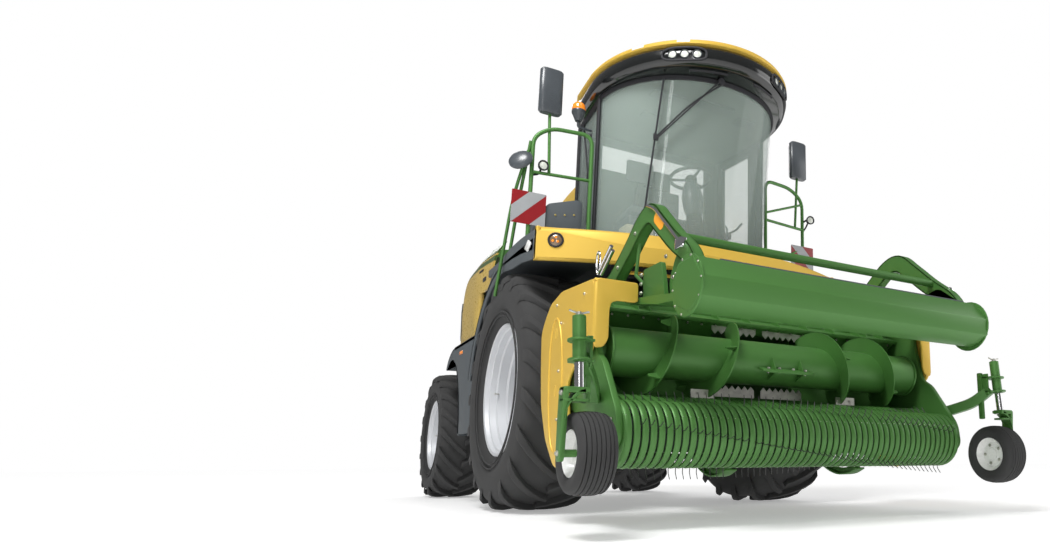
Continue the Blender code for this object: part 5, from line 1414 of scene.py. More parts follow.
def screen_sheet(z0, z1, start, stop, d0, d1, count=48):
    rings = []
    for z in (z0, z1):
        out = cab_round(z, d0, start, stop, count)
        back = cab_round(z, d1, start, stop, count)
        rings.append([(x, y, z) for x, y in out + back[::-1]])
    return loft(rings)


def on_screen(angle, z, depth=0.0):
    """A point on the windscreen and the direction out of it; angle in degrees from the left."""
    a = math.radians(angle)
    point = Vector(((CAB_HALF - depth) * math.cos(a), CAB_FRONT_Y - (nose(z) - depth) * math.sin(a), z))
    out = Vector((math.cos(a) / CAB_HALF, -math.sin(a) / nose(z), -0.25)).normalized()
    return point, out


class HARVESTER_OT_cab(bpy.types.Operator):
    """Cab shell, wraparound glass, door, wipers and the dark edges of the glass"""
    bl_idname = "harvester.cab"
    bl_label = "Cab"

    def execute(self, context):
        shell = loft([cab_ring(FLOOR_Z), cab_ring(ROOF_Z)])
        hollow = loft([cab_ring(FLOOR_Z + WALL, WALL), cab_ring(ROOF_Z + 0.01, WALL)])
        through = (-0.03, WALL + 0.03)
        cuts = [hollow, side_sheet(1, -0.405, 0.190, 2.210, 3.560, *through),
                side_sheet(-1, -0.425, 0.16, 2.25, 3.56, *through),
                screen_sheet(2.24, 3.585, 5.0, 178.0, *through),
                block((-0.62, CAB_REAR_Y - 0.1, 2.82), (0.62, CAB_REAR_Y + 0.1, 3.50), 0.0)]
        body = joined_cut("cab", shell, cuts)
        piece("cab_shell", [body], "chassis", "black_trim", ["cab_frame"], 30)
        piece("windscreen_curved", [screen_sheet(2.24, 3.585, 5.0, 178.0, *PANE),
              side_sheet(-1, -0.425, 0.16, 2.25, 3.56, *PANE)], "chassis", "cab_glass",
              ["windscreen", "right_window"])
        refinish(["rear_window", "cab_door_glass"], "cab_glass", 0.0)
        seals = []
        for angle in (5.4, 177.6):
            line = [on_screen(angle, 2.24 + 1.34 * i / 10)[0] for i in range(11)]
            seals.append(tube(line, 0.012, 8))
        for z in (2.245, 3.580):
            seals.append(tube([(x, y, z) for x, y in cab_round(z, 0.012, 5, 178)], 0.011, 8))
        for z in (2.255, 3.555):
            seals.append(tube([(-side_x(y, 0.012), y, z) for y in (-0.42, 0.155)], 0.010, 8))
        seals.append(tube([(side_x(-0.43, -0.001), -0.43, 2.25), (side_x(-0.43, -0.001), -0.43, 3.55)], 0.012, 8))
        piece("cab_seals", seals, "chassis", "black_trim")
        self.door()
        self.wipers()
        self.lining()
        return {"FINISHED"}

    def door(self):
        y0, y1, z0, z1 = -0.405, 0.185, 2.215, 3.555
        hole = side_sheet(1, -0.35, 0.13, 2.30, 3.50, -0.03, WALL + 0.03)
        frame_part = joined_cut("door", side_sheet(1, y0, y1, z0, z1, 0.0, WALL), [hole])
        piece("cab_door_frame", [frame_part], "cab_door", "black_trim", ["cab_door"])
        x = side_x(0.10, -0.004)
        handle = [tube([(x, 0.155, 2.62), (x + 0.035, 0.150, 2.64), (x + 0.035, 0.150, 2.86), (x, 0.155, 2.88)],
                       0.011, 10, 0.02)]
        handle.append(block((x - 0.010, 0.135, 2.56), (x + 0.012, 0.175, 2.61), 0.005))
        piece("cab_door_handle", handle, "cab_door", "grey_moulding")
        edge = []
        for depth in (0.040,):
            loop = [(side_x(y, depth), y, z) for y, z in ((-0.345, 2.31), (-0.345, 3.49), (0.125, 3.49), (0.125, 2.31),
                                                        (-0.345, 2.31))]
            edge.append(tube(loop, 0.008, 8, 0.05))
        piece("cab_door_seal", edge, "cab_door", "black_trim")

    def wipers(self):
        blades = []
        line = []
        for i in range(13):
            z = 3.57 - 1.20 * i / 12
            point, out = on_screen(128.5 + 0.25 * i, z)
            line.append(point + out * 0.030)
        blades.append(tube(line, 0.008, 8))
        blades.append(tube([p + Vector((0, 0.012, 0)) for p in line], 0.005, 6))
        knuckle = line[5] + Vector((0, -0.012, 0))
        blades.append(block(knuckle - Vector((0.022, 0.012, 0.03)), knuckle + Vector((0.022, 0.010, 0.03)), 0.006))
        for shift in (0.0, 0.035):
            start, out = on_screen(98 - shift * 90, 3.58)
            start = start + out * 0.035
            middle, out = on_screen(112, 3.33)
            end = knuckle + Vector((0.0, 0.0, -0.02 + shift * 0.6))
            blades.append(tube([start, middle + out * 0.055 + Vector((0, 0, shift)), end], 0.0075, 8, 0.15))
        root, out = on_screen(97, 3.585)
        blades.append(rod(root - out * 0.01, root + out * 0.05, 0.028, 20, bevel=0.005))
        x = -side_x(-0.2, -0.028)
        blades.append(tube([(x, -0.33, 3.30), (x + 0.006, -0.30, 2.45)], 0.008, 8))
        blades.append(tube([(x, -0.10, 3.58), (x - 0.010, -0.20, 3.30), (x - 0.004, -0.315, 2.90)], 0.009, 8, 0.1))
        blades.append(block((x - 0.014, -0.35, 2.87), (x + 0.010, -0.29, 2.94), 0.005))
        piece("wipers", blades, "chassis", "black_trim")

    def lining(self):
        ring = [(x, y) for x, y, _ in cab_ring(ROOF_Z, WALL + 0.004)]
        low = [(x, y, 3.575) for x, y in ring]
        high = [(x, y, 3.598) for x, y in ring]
        piece("roof_lining", [loft([low, high])], "chassis", "lining")
        vents = []
        for x, y, w, d in ((-0.36, -0.86, 0.34, 0.14), (0.08, -0.92, 0.36, 0.14), (0.46, -0.80, 0.20, 0.14),
                           (0.02, -0.42, 0.20, 0.10), (-0.36, -0.45, 0.16, 0.12)):
            outline = rounded_outline([(x - w / 2, y - d / 2), (x + w / 2, y - d / 2), (x + w / 2, y + d / 2),
                                       (x - w / 2, y + d / 2)], 0.03)
            vents.append(slab(outline, "Z", 3.565, 3.577, 0.003))
        piece("roof_vents", vents, "chassis", "black_trim")
        floor = [(x, y, z) for z in (FLOOR_Z + WALL, FLOOR_Z + WALL + 0.012) for x, y, _ in cab_ring(z, WALL + 0.006)]
        half = len(floor) // 2
        piece("cab_floor_mat", [loft([floor[:half], floor[half:]])], "chassis", "black_trim")


def roof_ring(z, inset, count=64):
    half, depth, rear = 0.935 - inset, 1.108 - inset, 0.29 - inset
    points = []
    for i in range(count + 1):
        a = math.pi * i / count
        points.append((half * math.cos(a), CAB_FRONT_Y - depth * math.sin(a), z))
    return points + [(-half + 0.03, rear - 0.30, z), (-half + 0.11, rear - 0.03, z), (-half + 0.15, rear, z),
                     (half - 0.15, rear, z), (half - 0.11, rear - 0.03, z), (half - 0.03, rear - 0.30, z)]


class HARVESTER_OT_roof(bpy.types.Operator):
    """Black visor with work lamps, yellow roof cap, beacons and reflectors"""
    bl_idname = "harvester.roof"
    bl_label = "Cab roof"

    def execute(self, context):
        low, high = cad("cab_roof")
        visor = [(3.602, 0.085), (3.612, 0.045), (3.640, 0.018), (3.690, 0.006), (3.745, 0.012), (3.775, 0.030),
                 (3.784, 0.045)]
        piece("roof_visor", [loft([roof_ring(z, inset) for z, inset in visor])], "chassis", "visor_gloss",
              ["cab_roof"])
        cap = [(3.782, 0.020), (3.790, 0.004), (3.806, 0.001), (3.826, 0.012), (3.850, 0.050), (3.868, 0.12),
               (high.z - 0.003, 0.22), (high.z, 0.34)]
        piece("roof_cap", [loft([roof_ring(z, inset) for z, inset in cap])], "chassis", "yellow_paint")
        self.lamps()
        self.beacons()
        return {"FINISHED"}

    def lamps(self):
        bezels, lenses, pods = [], [], []
        for side in (-1, 1):
            spots = []
            for x in (0.396, 0.484, 0.563):
                across = math.acos(side * x / 0.929)
                out = Vector((math.cos(across) / 0.929, -math.sin(across) / 1.102, 0)).normalized()
                spots.append((Vector((side * x, CAB_FRONT_Y - 1.102 * math.sin(across), 3.690)), out))
            for spot, out in spots:
                bezels.append(turned([(0.030, -0.01), (0.040, -0.01), (0.040, 0.008), (0.036, 0.014), (0.031, 0.006)],
                                     spot, out, 28))
                lenses.append(turned([(0.0, -0.005), (0.031, -0.005), (0.031, 0.003), (0.018, 0.008),
                                      (0.0, 0.010)], spot, out, 28))
            route = []
            for i in range(33):
                a = math.tau * i / 32
                x = 0.480 + 0.150 * math.copysign(abs(math.cos(a)) ** 0.6, math.cos(a))
                across = math.acos(side * x / 0.935)
                route.append((side * x, CAB_FRONT_Y - 1.108 * math.sin(across),
                              3.690 + 0.058 * math.copysign(abs(math.sin(a)) ** 0.7, math.sin(a))))
            pods.append(tube(route, 0.010, 8))
        piece("work_lamp_pods", pods, "chassis", "black_trim")
        piece("work_lamp_bezels", bezels, "chassis", "grey_moulding")
        piece("work_lamp_lenses", lenses, "chassis", "clear_lens")
        squares = []
        for angle in (122.1, 145.3):
            rings = []
            for z, inset in ((3.800, 0.0), (3.825, 0.010), (3.848, 0.045)):
                row = []
                for k in range(5):
                    a = math.radians(angle - 3.2 + 1.6 * k)
                    row.append(((0.936 - inset) * math.cos(a), CAB_FRONT_Y - (1.109 - inset) * math.sin(a), z))
                rings.append(row + [(x * 0.995, y + 0.004, z - 0.003) for x, y, z in reversed(row)])
            squares.append(loft(rings))
        piece("roof_reflectors", squares, "chassis", "reflector")
        lines = []
        for start, stop, drop in ((97, 118, 0.014), (62, 80, 0.014)):
            line = []
            for i in range(11):
                a = math.radians(start + (stop - start) * i / 10)
                line.append((0.885 * math.cos(a), CAB_FRONT_Y - 1.02 * math.sin(a), 3.600 - drop))
            lines.append(tube(line, 0.010, 8))
        piece("visor_bars", lines, "chassis", "black_trim")

    def beacons(self):
        domes, bases = [], []
        for side in (-1,):
            spot = Vector((side * 0.965, -0.25, 3.43))
            domes.append(turned([(0.0, 0.100), (0.060, 0.100), (0.062, 0.108), (0.058, 0.150), (0.045, 0.168),
                                 (0.0, 0.174)], spot, (0, 0, 1), 32))
            bases.append(turned([(0.0, 0.00), (0.030, 0.00), (0.045, 0.04), (0.062, 0.075), (0.064, 0.097),
                                 (0.060, 0.104), (0.0, 0.104)], spot, (0, 0, 1), 32))
            bases.append(tube([spot + Vector((0, 0, 0.0)), spot - Vector((0, 0, 0.06)),
                               spot - Vector((side * 0.13, 0, 0.06))], 0.012, 10, 0.03))
        piece("beacon_domes", domes, "chassis", "amber_lens")
        piece("beacon_bases", bases, "chassis", "grey_moulding")


class HARVESTER_OT_cab_inside(bpy.types.Operator):
    """Seat, steering column and wheel, console, monitor and levers"""
    bl_idname = "harvester.cab_inside"
    bl_label = "Cab inside"

    def execute(self, context):
        self.seat()
        self.steering()
        self.console()
        return {"FINISHED"}

    def cushion(self, name, low, high, axis, channels):
        """A crowned cushion whose sides pull in between its corners, with sewn channels."""
        bm = bmesh.new()
        low, high = Vector(low), Vector(high)
        middle = (low + high) / 2
        bmesh.ops.create_cube(bm, size=1.0)
        bmesh.ops.subdivide_edges(bm, edges=bm.edges[:], cuts=17, use_grid_fill=True)
        size = high - low
        flat = [i for i in range(3) if i != axis]
        for vert in bm.verts:
            p = Vector(vert.co) * 2
            crown = (1 - abs(p[flat[0]]) ** 2.4) * (1 - abs(p[flat[1]]) ** 2.4)
            edge = max(abs(p[flat[0]]), abs(p[flat[1]]))
            p[axis] *= 0.62 + 0.38 * crown
            for i in flat:
                p[i] *= 1 - 0.05 * abs(p[axis]) ** 2 - 0.03 * (1 - edge)
            for channel in channels:
                near = abs(p[flat[1]] - channel)
                p[axis] *= 1 - 0.16 * math.exp(-(near / 0.05) ** 2)
            wrinkle = noise.noise(Vector(vert.co) * 7.0) * 0.004
            for i in range(3):
                p[i] = p[i] * size[i] / 2 + middle[i]
            p[axis] += wrinkle
            vert.co = p
        made = piece(name, [tidy(bm)], "chassis", "seat_cloth", sharp=70)
        change = made.modifiers.new("smooth", "SUBSURF")
        change.levels = change.render_levels = 1
        return made

    def seat(self):
        base = self.cushion("seat_cushion", (-0.25, -0.30, 2.43), (0.25, 0.15, 2.56), 2, (-0.45, 0.2))
        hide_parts("driver_seat")
        back = self.cushion("seat_back", (-0.235, 0.05, 2.52), (0.235, 0.17, 3.08), 1, (-0.4, 0.1, 0.55))
        head = self.cushion("seat_headrest", (-0.14, 0.07, 3.09), (0.14, 0.16, 3.28), 1, ())
        low = FLOOR_Z + WALL
        frame_parts = [block((-0.17, -0.17, low + 0.012), (0.17, 0.09, 2.25), 0.01)]
        for k in range(5):
            z = 2.26 + 0.032 * k
            frame_parts.append(block((-0.15, -0.15, z), (0.15, 0.07, z + 0.022), 0.009))
        frame_parts.append(block((-0.22, -0.27, 2.415), (0.22, 0.12, 2.436), 0.006))
        for x in (-0.05, 0.05):
            frame_parts.append(rod((x, 0.115, 3.04), (x, 0.115, 3.14), 0.007, 10))
        piece("seat_base", frame_parts, "chassis", "grey_moulding")

    def steering(self):
        floor = FLOOR_Z + WALL + 0.012
        foot, head = Vector((0, -0.76, floor)), Vector((0, -0.62, 2.97))
        lean = (head - foot).normalized()
        rings = []
        for i in range(23):
            t = i / 22
            r = 0.072 + (0.012 if i % 2 else 0.0) - 0.012 * t
            rings.append(circle(foot + lean * (0.16 + 0.22 * t), lean, r, 24))
        piece("steering_bellows", [loft(rings)], "chassis", "black_trim", ["steering_column"])
        lower = [foot, foot + lean * 0.05, foot + lean * 0.16]
        shapes = [loft([circle(p, lean, r, 24) for p, r in zip(lower, (0.105, 0.085, 0.065))])]
        pod = []
        for t, w, d in ((0.37, 0.075, 0.060), (0.45, 0.095, 0.085), (0.56, 0.100, 0.095), (0.66, 0.085, 0.080),
                        (0.73, 0.055, 0.055)):
            spot = foot + lean * t
            pod.append([spot + Vector((w * math.cos(a), d * math.sin(a), 0)) for a in
                        (math.tau * i / 24 for i in range(24))])
        shapes.append(loft(pod))
        piece("steering_pod", shapes, "chassis", "grey_moulding")
        first, second = around(lean)
        rim = [(0.19 + 0.016 * math.cos(a), 0.016 * math.sin(a)) for a in (math.tau * i / 12 for i in range(12))]
        wheel = [turned(rim, head, lean, 56)]
        for k in range(3):
            a = math.tau * k / 3 + math.pi / 2
            tip = head + 0.182 * (math.cos(a) * first + math.sin(a) * second)
            middle = head.lerp(tip, 0.5) - lean * 0.012
            wheel.append(tube([head - lean * 0.015, middle, tip], 0.012, 10))
        wheel.append(turned([(0.0, -0.03), (0.055, -0.03), (0.058, -0.005), (0.045, 0.015), (0.0, 0.018)],
                            head, lean, 32))
        piece("steering_wheel", wheel, "chassis", "black_trim")

    def console(self):
        low = FLOOR_Z + WALL + 0.012
        shell = [slab(rounded_outline([(-0.34, low), (0.02, low), (0.02, 2.60), (-0.34, 2.62)], 0.03), "X",
                      -0.48, -0.31, 0.02, 3)]
        shell.append(slab(rounded_outline([(-0.38, 2.62), (0.02, 2.61), (0.02, 2.66), (-0.20, 2.70),
                                           (-0.38, 2.69)], 0.02), "X", -0.47, -0.32, 0.012, 3))
        piece("console_shell", shell, "chassis", "grey_moulding", ["control_console"])
        controls = [tube([(-0.42, -0.30, 2.68), (-0.42, -0.36, 2.82), (-0.42, -0.39, 2.95)], 0.012, 10, 0.05)]
        controls.append(slab(rounded_outline([(-0.55, 2.90), (-0.29, 2.90), (-0.29, 3.10), (-0.55, 3.10)], 0.02),
                             "Y", -0.43, -0.40, 0.006, 3))
        controls.append(tube([(-0.39, -0.26, 2.68), (-0.39, -0.28, 2.76), (-0.37, -0.29, 2.84)], 0.020, 14, 0.03))
        for k in range(8):
            x, y = -0.445 + 0.028 * (k % 4), -0.12 + 0.035 * (k // 4)
            controls.append(block((x, y, 2.66), (x + 0.016, y + 0.020, 2.690), 0.003))
        piece("console_controls", controls, "chassis", "black_trim")
        piece("monitor_face", [slab(rounded_outline([(-0.535, 2.92), (-0.305, 2.92), (-0.305, 3.08),
                                                     (-0.535, 3.08)], 0.008), "Y", -0.400, -0.396)],
              "chassis", "screen_face")
        blind = [block((-0.62, 0.176, 2.24), (-0.02, 0.200, 3.22), 0.008),
                 block((-0.10, 0.172, 2.24), (0.62, 0.200, 2.86), 0.008)]
        piece("rear_blind", blind, "chassis", "lining")
        box = [block((-0.62, -0.62, low), (-0.36, -0.44, 2.42), 0.012)]
        piece("cool_box", box, "chassis", "beige_moulding")
        rests = [tube([(0.40, -0.62, low), (0.40, -0.55, 2.55), (0.46, -0.40, 2.72)], 0.014, 10, 0.08)]
        rests.append(tube([(0.52, -0.38, 2.58), (0.66, -0.36, 2.66), (0.72, -0.36, 2.74)], 0.011, 10, 0.04))
        rests.append(block((0.46, -0.40, 2.54), (0.58, -0.34, 2.60), 0.01))
        piece("cab_grab_bars", rests, "chassis", "black_trim")


# ---- rails ----
class HARVESTER_OT_rails(bpy.types.Operator):
    """Handrails round the front corners with mirrors, work lamps and warning boards"""
    bl_idname = "harvester.rails"
    bl_label = "Handrails and mirrors"

    def execute(self, context):
        top = 2.1503
        r = sizes().rail_tube
        for name, side in SIDES:
            lean = 0.03 if side > 0 else 0.0
            outer, y = 1.40 + lean, -0.43

            def at(x, yy, z):
                return (side * x, yy, z)
            shapes = [tube([at(0.915, -0.50, top), at(0.915, -0.50, 3.2), at(1.26, -0.45, 3.2), at(outer, y, 3.10),
                            at(outer, y, top)], r, 16, 0.10),
                      tube([at(0.915, -0.50, 2.78), at(outer, y, 2.78)], r * 0.8, 12)]
            mast = [at(1.26 + 2 * lean, -0.45, 2.78), at(1.28 + 3 * lean, y, 3.40)]
            shapes.append(tube(mast, r * 0.75, 12))
            if side < 0:
                shapes.append(tube([at(1.50, 0.10, 1.80), at(1.50, -0.30, 2.60), at(1.44, -0.45, 2.95)], r * 0.8, 12, 0.2))
                shapes.append(tube([at(1.45, -0.10, top), at(1.45, -0.30, 2.60), at(1.42, -0.43, 3.05)], r * 0.8, 12, 0.2))
            else:
                shapes.append(tube([at(0.93, -0.50, 2.30), at(outer, y, 2.58)], r * 0.6, 10))
                shapes.append(tube([at(0.93, -0.50, 2.86), at(outer, y, 3.06)], r * 0.7, 10))
            for spot in ((0.915, -0.50), (outer, y)):
                shapes.append(turned([(0.0, 0.0), (0.045, 0.0), (0.045, 0.008), (0.0, 0.008)],
                                     at(*spot, top - 0.0001), (0, 0, 1), 24))
            plate = mirrored(1.33, 1.47, side)
            shapes.append(block((plate[0], y + 0.004, 2.42), (plate[1], y + 0.020, 2.48), 0.002))
            piece(f"handrail_tubes_{name}", shapes, "chassis", "green_paint", [f"handrail_{name}"])
            self.mirror(name, side, lean, y)
            board = mirrored(1.27, 1.552, side)
            shapes = [slab(rounded_outline([(board[0], 2.31), (board[1], 2.31), (board[1], 2.592),
                                            (board[0], 2.592)], 0.008), "Y", y - 0.022, y - 0.018)]
            piece(f"warning_board_{name}", shapes, "chassis", f"stripes_{name}")
            back = [slab(rounded_outline([(board[0] + 0.004, 2.314), (board[1] - 0.004, 2.314),
                                          (board[1] - 0.004, 2.588), (board[0] + 0.004, 2.588)], 0.008), "Y",
                         y - 0.0175, y - 0.008, 0.002)]
            piece(f"warning_board_back_{name}", back, "chassis", "zinc")
        return {"FINISHED"}

    def mirror(self, name, side, lean, y):
        x0, x1 = mirrored(1.18 + 3 * lean, 1.38 + 3 * lean, side)
        middle = (x0 + x1) / 2
        shell = []
        for z, pinch in ((3.330, 0.014), (3.345, 0.0), (3.53, 0.0), (3.725, 0.0), (3.740, 0.014)):
            ring = []
            for i in range(24):
                a = math.tau * i / 24
                u = math.copysign(abs(math.cos(a)) ** 0.45, math.cos(a))
                v = math.copysign(abs(math.sin(a)) ** 0.7, math.sin(a))
                ring.append((middle + u * (0.100 - pinch), y - 0.012 + v * (0.040 - pinch / 2), z))
            shell.append(ring)
        shapes = [loft(shell)]
        wide = [Vector((side * 1.40, y - 0.03, 2.93)), Vector((side * 1.59, y + 0.02, 2.79))]
        first = (wide[1] - wide[0]).normalized()
        centre = (wide[0] + wide[1]) / 2
        for k, (grow, back) in enumerate(((1.0, 0.0),)):
            out = Vector((0.0, -0.8, 0.6))
            second = first.cross(out).normalized()
            rings = []
            for reach, depth in ((0.92, -0.014), (1.0, 0.0), (0.96, 0.012), (0.7, 0.030), (0.25, 0.040)):
                rings.append([centre + first * 0.100 * reach * math.cos(a) + second * 0.092 * reach * math.sin(a)
                              + out.normalized() * depth for a in (math.tau * i / 28 for i in range(28))])
            if side < 0:
                shapes.append(loft(rings))
        piece(f"mirror_shells_{name}", shapes, "chassis", "grey_moulding")
        glass_part = [slab(rounded_outline([(middle - 0.085, 3.35), (middle + 0.085, 3.35), (middle + 0.085, 3.72),
                                            (middle - 0.085, 3.72)], 0.02), "Y", y + 0.0275, y + 0.0295)]
        piece(f"mirror_glass_{name}", glass_part, "chassis", "mirror_glass")
        arms = [tube([(side * (1.40 + lean), y, 2.86), (side * (1.47 + lean), y - 0.01, 2.91)], 0.010, 10)]
        spot = Vector((-1.327 if side < 0 else 1.50, y - 0.02, 2.832 if side < 0 else 2.885))
        arms.append(tube([(side * (1.40 + lean), y, 2.75), spot + Vector((0, 0.04, -0.05)), spot], 0.009, 10, 0.03))
        arms.append(turned([(0.0, 0.0), (0.030, 0.0), (0.044, 0.03), (0.046, 0.048), (0.038, 0.048), (0.034, 0.038),
                            (0.0, 0.036)], spot, (-side * 0.15, -1, 0), 28))
        piece(f"mirror_arms_{name}", arms, "chassis", "black_trim")
        face = [turned([(0.0, 0.034), (0.034, 0.034), (0.033, 0.042), (0.02, 0.048), (0.0, 0.050)], spot,
                       (-side * 0.15, -1, 0), 28)]
        piece(f"rail_work_lamp_{name}", face, "chassis", "clear_lens")


# ---- rear body ----
BODY_PLAN = [(0.66, 1.42), (1.2, 1.44), (1.85, 1.41), (2.5, 1.29), (3.30, 1.12)]
PANEL_SECTION = [(0.02, 1.62), (0.0, 1.85), (0.0, 2.12), (0.03, 2.32), (0.11, 2.47)]


def body_half(y):
    for (y0, x0), (y1, x1) in zip(BODY_PLAN, BODY_PLAN[1:]):
        if y <= y1:
            return x0 + (x1 - x0) * (y - y0) / (y1 - y0)
    return BODY_PLAN[-1][1]


class HARVESTER_OT_rear_body(bpy.types.Operator):
    """Side panels, engine hood, tail, rear guards, ladder and grilles"""
    bl_idname = "harvester.rear_body"
    bl_label = "Rear body"

    def execute(self, context):
        self.panels()
        self.hood()
        self.tail()
        self.guards()
        self.ladder()
        return {"FINISHED"}

    def panels(self):
        section = [tuple(p) for p in smooth_line(PANEL_SECTION, 5)]
        for name, side in SIDES:
            start = 0.66 if side < 0 else 1.56
            places = [start + (3.296 - start) * i / 24 for i in range(25)]
            rings = []
            for y in places:
                half = body_half(y) - 0.002
                thin = 0.018
                if side < 0 and y < 1.06:
                    low = 2.0
                else:
                    low = 1.62
                lift = [(lean, max(z, low)) for lean, z in section]
                outer = [(side * (half - lean), y, z) for lean, z in lift]
                inner = [(side * (half - lean - thin), y, z) for lean, z in reversed(lift)]
                rings.append(outer + inner)
            body = f"side_panel_{name}"
            piece(f"side_panel_skin_{name}", [loft(rings)], body, "panel_paint", [f"side_panel_{name}"])
            y = start + 0.22
            half = body_half(y)
            handle = [slab(rounded_outline([(y - 0.06, 2.10), (y + 0.06, 2.10), (y + 0.06, 2.145), (y - 0.06, 2.145)],
                                           0.02), "X", *mirrored(half - 0.010, half + 0.001, side), 0.003)]
            for z in (2.24, 2.02):
                handle.append(bar((y + 0.10, z), (y + 0.22, z), 0.018, *mirrored(half - 0.012, half + 0.001, side),
                                  0.002))
            piece(f"side_panel_catch_{name}", handle, body, "black_trim")
            vents = []
            for k in range(7):
                yy = 2.05 + 0.10 * k
                h = body_half(yy)
                vents.append(bar((yy, 1.80), (yy + 0.05, 2.10), 0.030, *mirrored(h - 0.020, h - 0.001, side), 0.003))
            piece(f"side_panel_vents_{name}", vents, body, "mesh_screen")

    def hood(self):
        low = 2.4703
        rings = []
        for i in range(19):
            y = 1.26 + (3.297 - 1.26) * i / 18
            half = body_half(y) - 0.112
            points = [(-half, low), (-half + 0.04, low + 0.045), (-half + 0.14, low + 0.088), (-0.5, low + 0.160),
                      (0, low + 0.169), (0.5, low + 0.160), (half - 0.14, low + 0.088), (half - 0.04, low + 0.045),
                      (half, low)]
            line = smooth_line(points, 4)
            rings.append([(p.x, y, p.y) for p in line])
        notch = block((0.66, 1.0, 2.3), (1.6, 1.56, 2.9), 0.0)
        body = joined_cut("hood", loft(rings), [notch])
        piece("hood_skin", [body], "chassis", "green_paint", ["engine_hood"], 32)
        grilles = []
        for y in (2.05, 2.70):
            outline = rounded_outline([(-0.44, y - 0.26), (0.44, y - 0.26), (0.44, y + 0.26), (-0.44, y + 0.26)], 0.05)
            grilles.append(slab(outline, "Z", low + 0.150, low + 0.172, 0.004))
        piece("hood_screens", grilles, "chassis", "mesh_screen")
        frames = []
        for y in (2.05, 2.70):
            loop = rounded_outline([(-0.45, y - 0.27), (0.45, y - 0.27), (0.45, y + 0.27), (-0.45, y + 0.27)], 0.06)
            frames.append(tube([(a, b, low + 0.166) for a, b in loop + loop[:1]], 0.010, 8))
        piece("hood_screen_frames", frames, "chassis", "dark_plastic")

    def tail(self):
        low, high = cad("rear_body")
        rows = ((3.3003, 1.12, 1.58, 2.60), (3.45, 1.10, 1.58, 2.59), (3.75, 1.04, 1.58, 2.56),
                (3.90, 0.99, 1.59, 2.49), (3.98, 0.95, 1.60, 2.42), (4.04, 0.90, 1.66, 2.33), (4.06, 0.88, 1.70, 2.28))
        rings = []
        for y, half, z0, z1 in rows:
            corners = [(-half, z0), (half, z0), (half, z1 - 0.32), (half - 0.10, z1 - 0.08), (half - 0.3, z1),
                       (-half + 0.3, z1), (-half + 0.10, z1 - 0.08), (-half, z1 - 0.32)]
            rings.append([(x, y, z) for x, z in rounded_outline(corners, 0.07, 4)])
        piece("tail_skin", [softened(loft(rings), 0.012, 2, 45)], "chassis", "yellow_paint", ["rear_body"], 42)
        back = 4.058
        grille = [slab(rounded_outline([(-0.60, 1.80), (0.60, 1.80), (0.60, 2.20), (-0.60, 2.20)], 0.05), "Y",
                       back - 0.01, back + 0.008, 0.004)]
        piece("tail_grille", grille, "chassis", "mesh_screen")
        slats = [block((-0.58, back + 0.004, z), (0.58, back + 0.018, z + 0.016), 0.004)
                 for z in (1.86, 1.94, 2.02, 2.10)]
        piece("tail_slats", slats, "chassis", "black_trim")
        lamps, rims, ambers = [], [], []
        for side in (-1, 1):
            x = side * 0.76
            for z, group in ((2.12, lamps), (2.00, ambers), (1.88, lamps)):
                group.append(turned([(0.0, -0.01), (0.048, -0.01), (0.048, 0.006), (0.03, 0.014), (0.0, 0.017)],
                                    (x, back, z), (0, 1, 0), 28))
                rims.append(turned([(0.047, -0.01), (0.056, -0.01), (0.056, 0.010), (0.047, 0.006)], (x, back, z),
                                   (0, 1, 0), 28))
        piece("tail_lamps_red", lamps, "chassis", "red_lens")
        piece("tail_lamps_amber", ambers, "chassis", "amber_lens")
        piece("tail_lamp_rims", rims, "chassis", "black_trim")
        plate = [slab(rounded_outline([(-0.26, 1.655), (0.26, 1.655), (0.26, 1.765), (-0.26, 1.765)], 0.01), "Y",
                      back - 0.02, back + 0.004, 0.002)]
        piece("tail_plate_blank", plate, "chassis", "reflector")

    def guards(self):
        marks = []
        for name, side in SIDES:
            front = 1.12 if side < 0 else 1.55
            top = 1.6197
            crest = [tuple(p) for p in smooth_line([(2.04, top), (2.22, 1.590), (2.37, 1.515), (2.45, 1.425)], 4)]
            arch = smooth_line([(2.39, 1.405), (2.27, 1.470), (2.10, 1.480), (1.93, 1.375), (1.76, 1.14),
                                (1.66, 0.88), (1.62, 0.67)], 4)
            arch = [tuple(p) for p in arch]
            face = [(front, 0.67), (front, top)] + crest + arch
            lip = crest + arch[:9] + [(y - 0.050, z + 0.012) for y, z in arch[9:]] + \
                [(y, z) for y, z in reversed(arch[9:])] + [(2.12, 1.530)]
            lip = crest + [(y, z) for y, z in reversed([(p[0], p[1] - 0.02) for p in crest])]
            lip_low = arch + [(y - 0.060, z - 0.015) for y, z in reversed(arch[4:])]
            shapes = [slab(face, "X", *mirrored(1.395, 1.42, side), 0.006),
                      slab(lip, "X", *mirrored(1.05, 1.42, side), 0.003),
                      slab(lip_low, "X", *mirrored(1.05, 1.42, side), 0.003)]
            low, high = mirrored(0.95, 1.42, side)
            shapes.append(block((low, front, 1.5803), (high, 2.05, top), 0.004))
            piece(f"rear_guard_{name}", shapes, "chassis", "dark_plastic", [f"rear_fender_{name}"])
            marks.append(slab(rounded_outline([(1.66, 1.50), (1.80, 1.50), (1.80, 1.535), (1.66, 1.535)], 0.008), "X",
                              *mirrored(1.418, 1.424, side), 0.002))
        piece("side_marker_reflectors", marks, "chassis", "amber_lens")

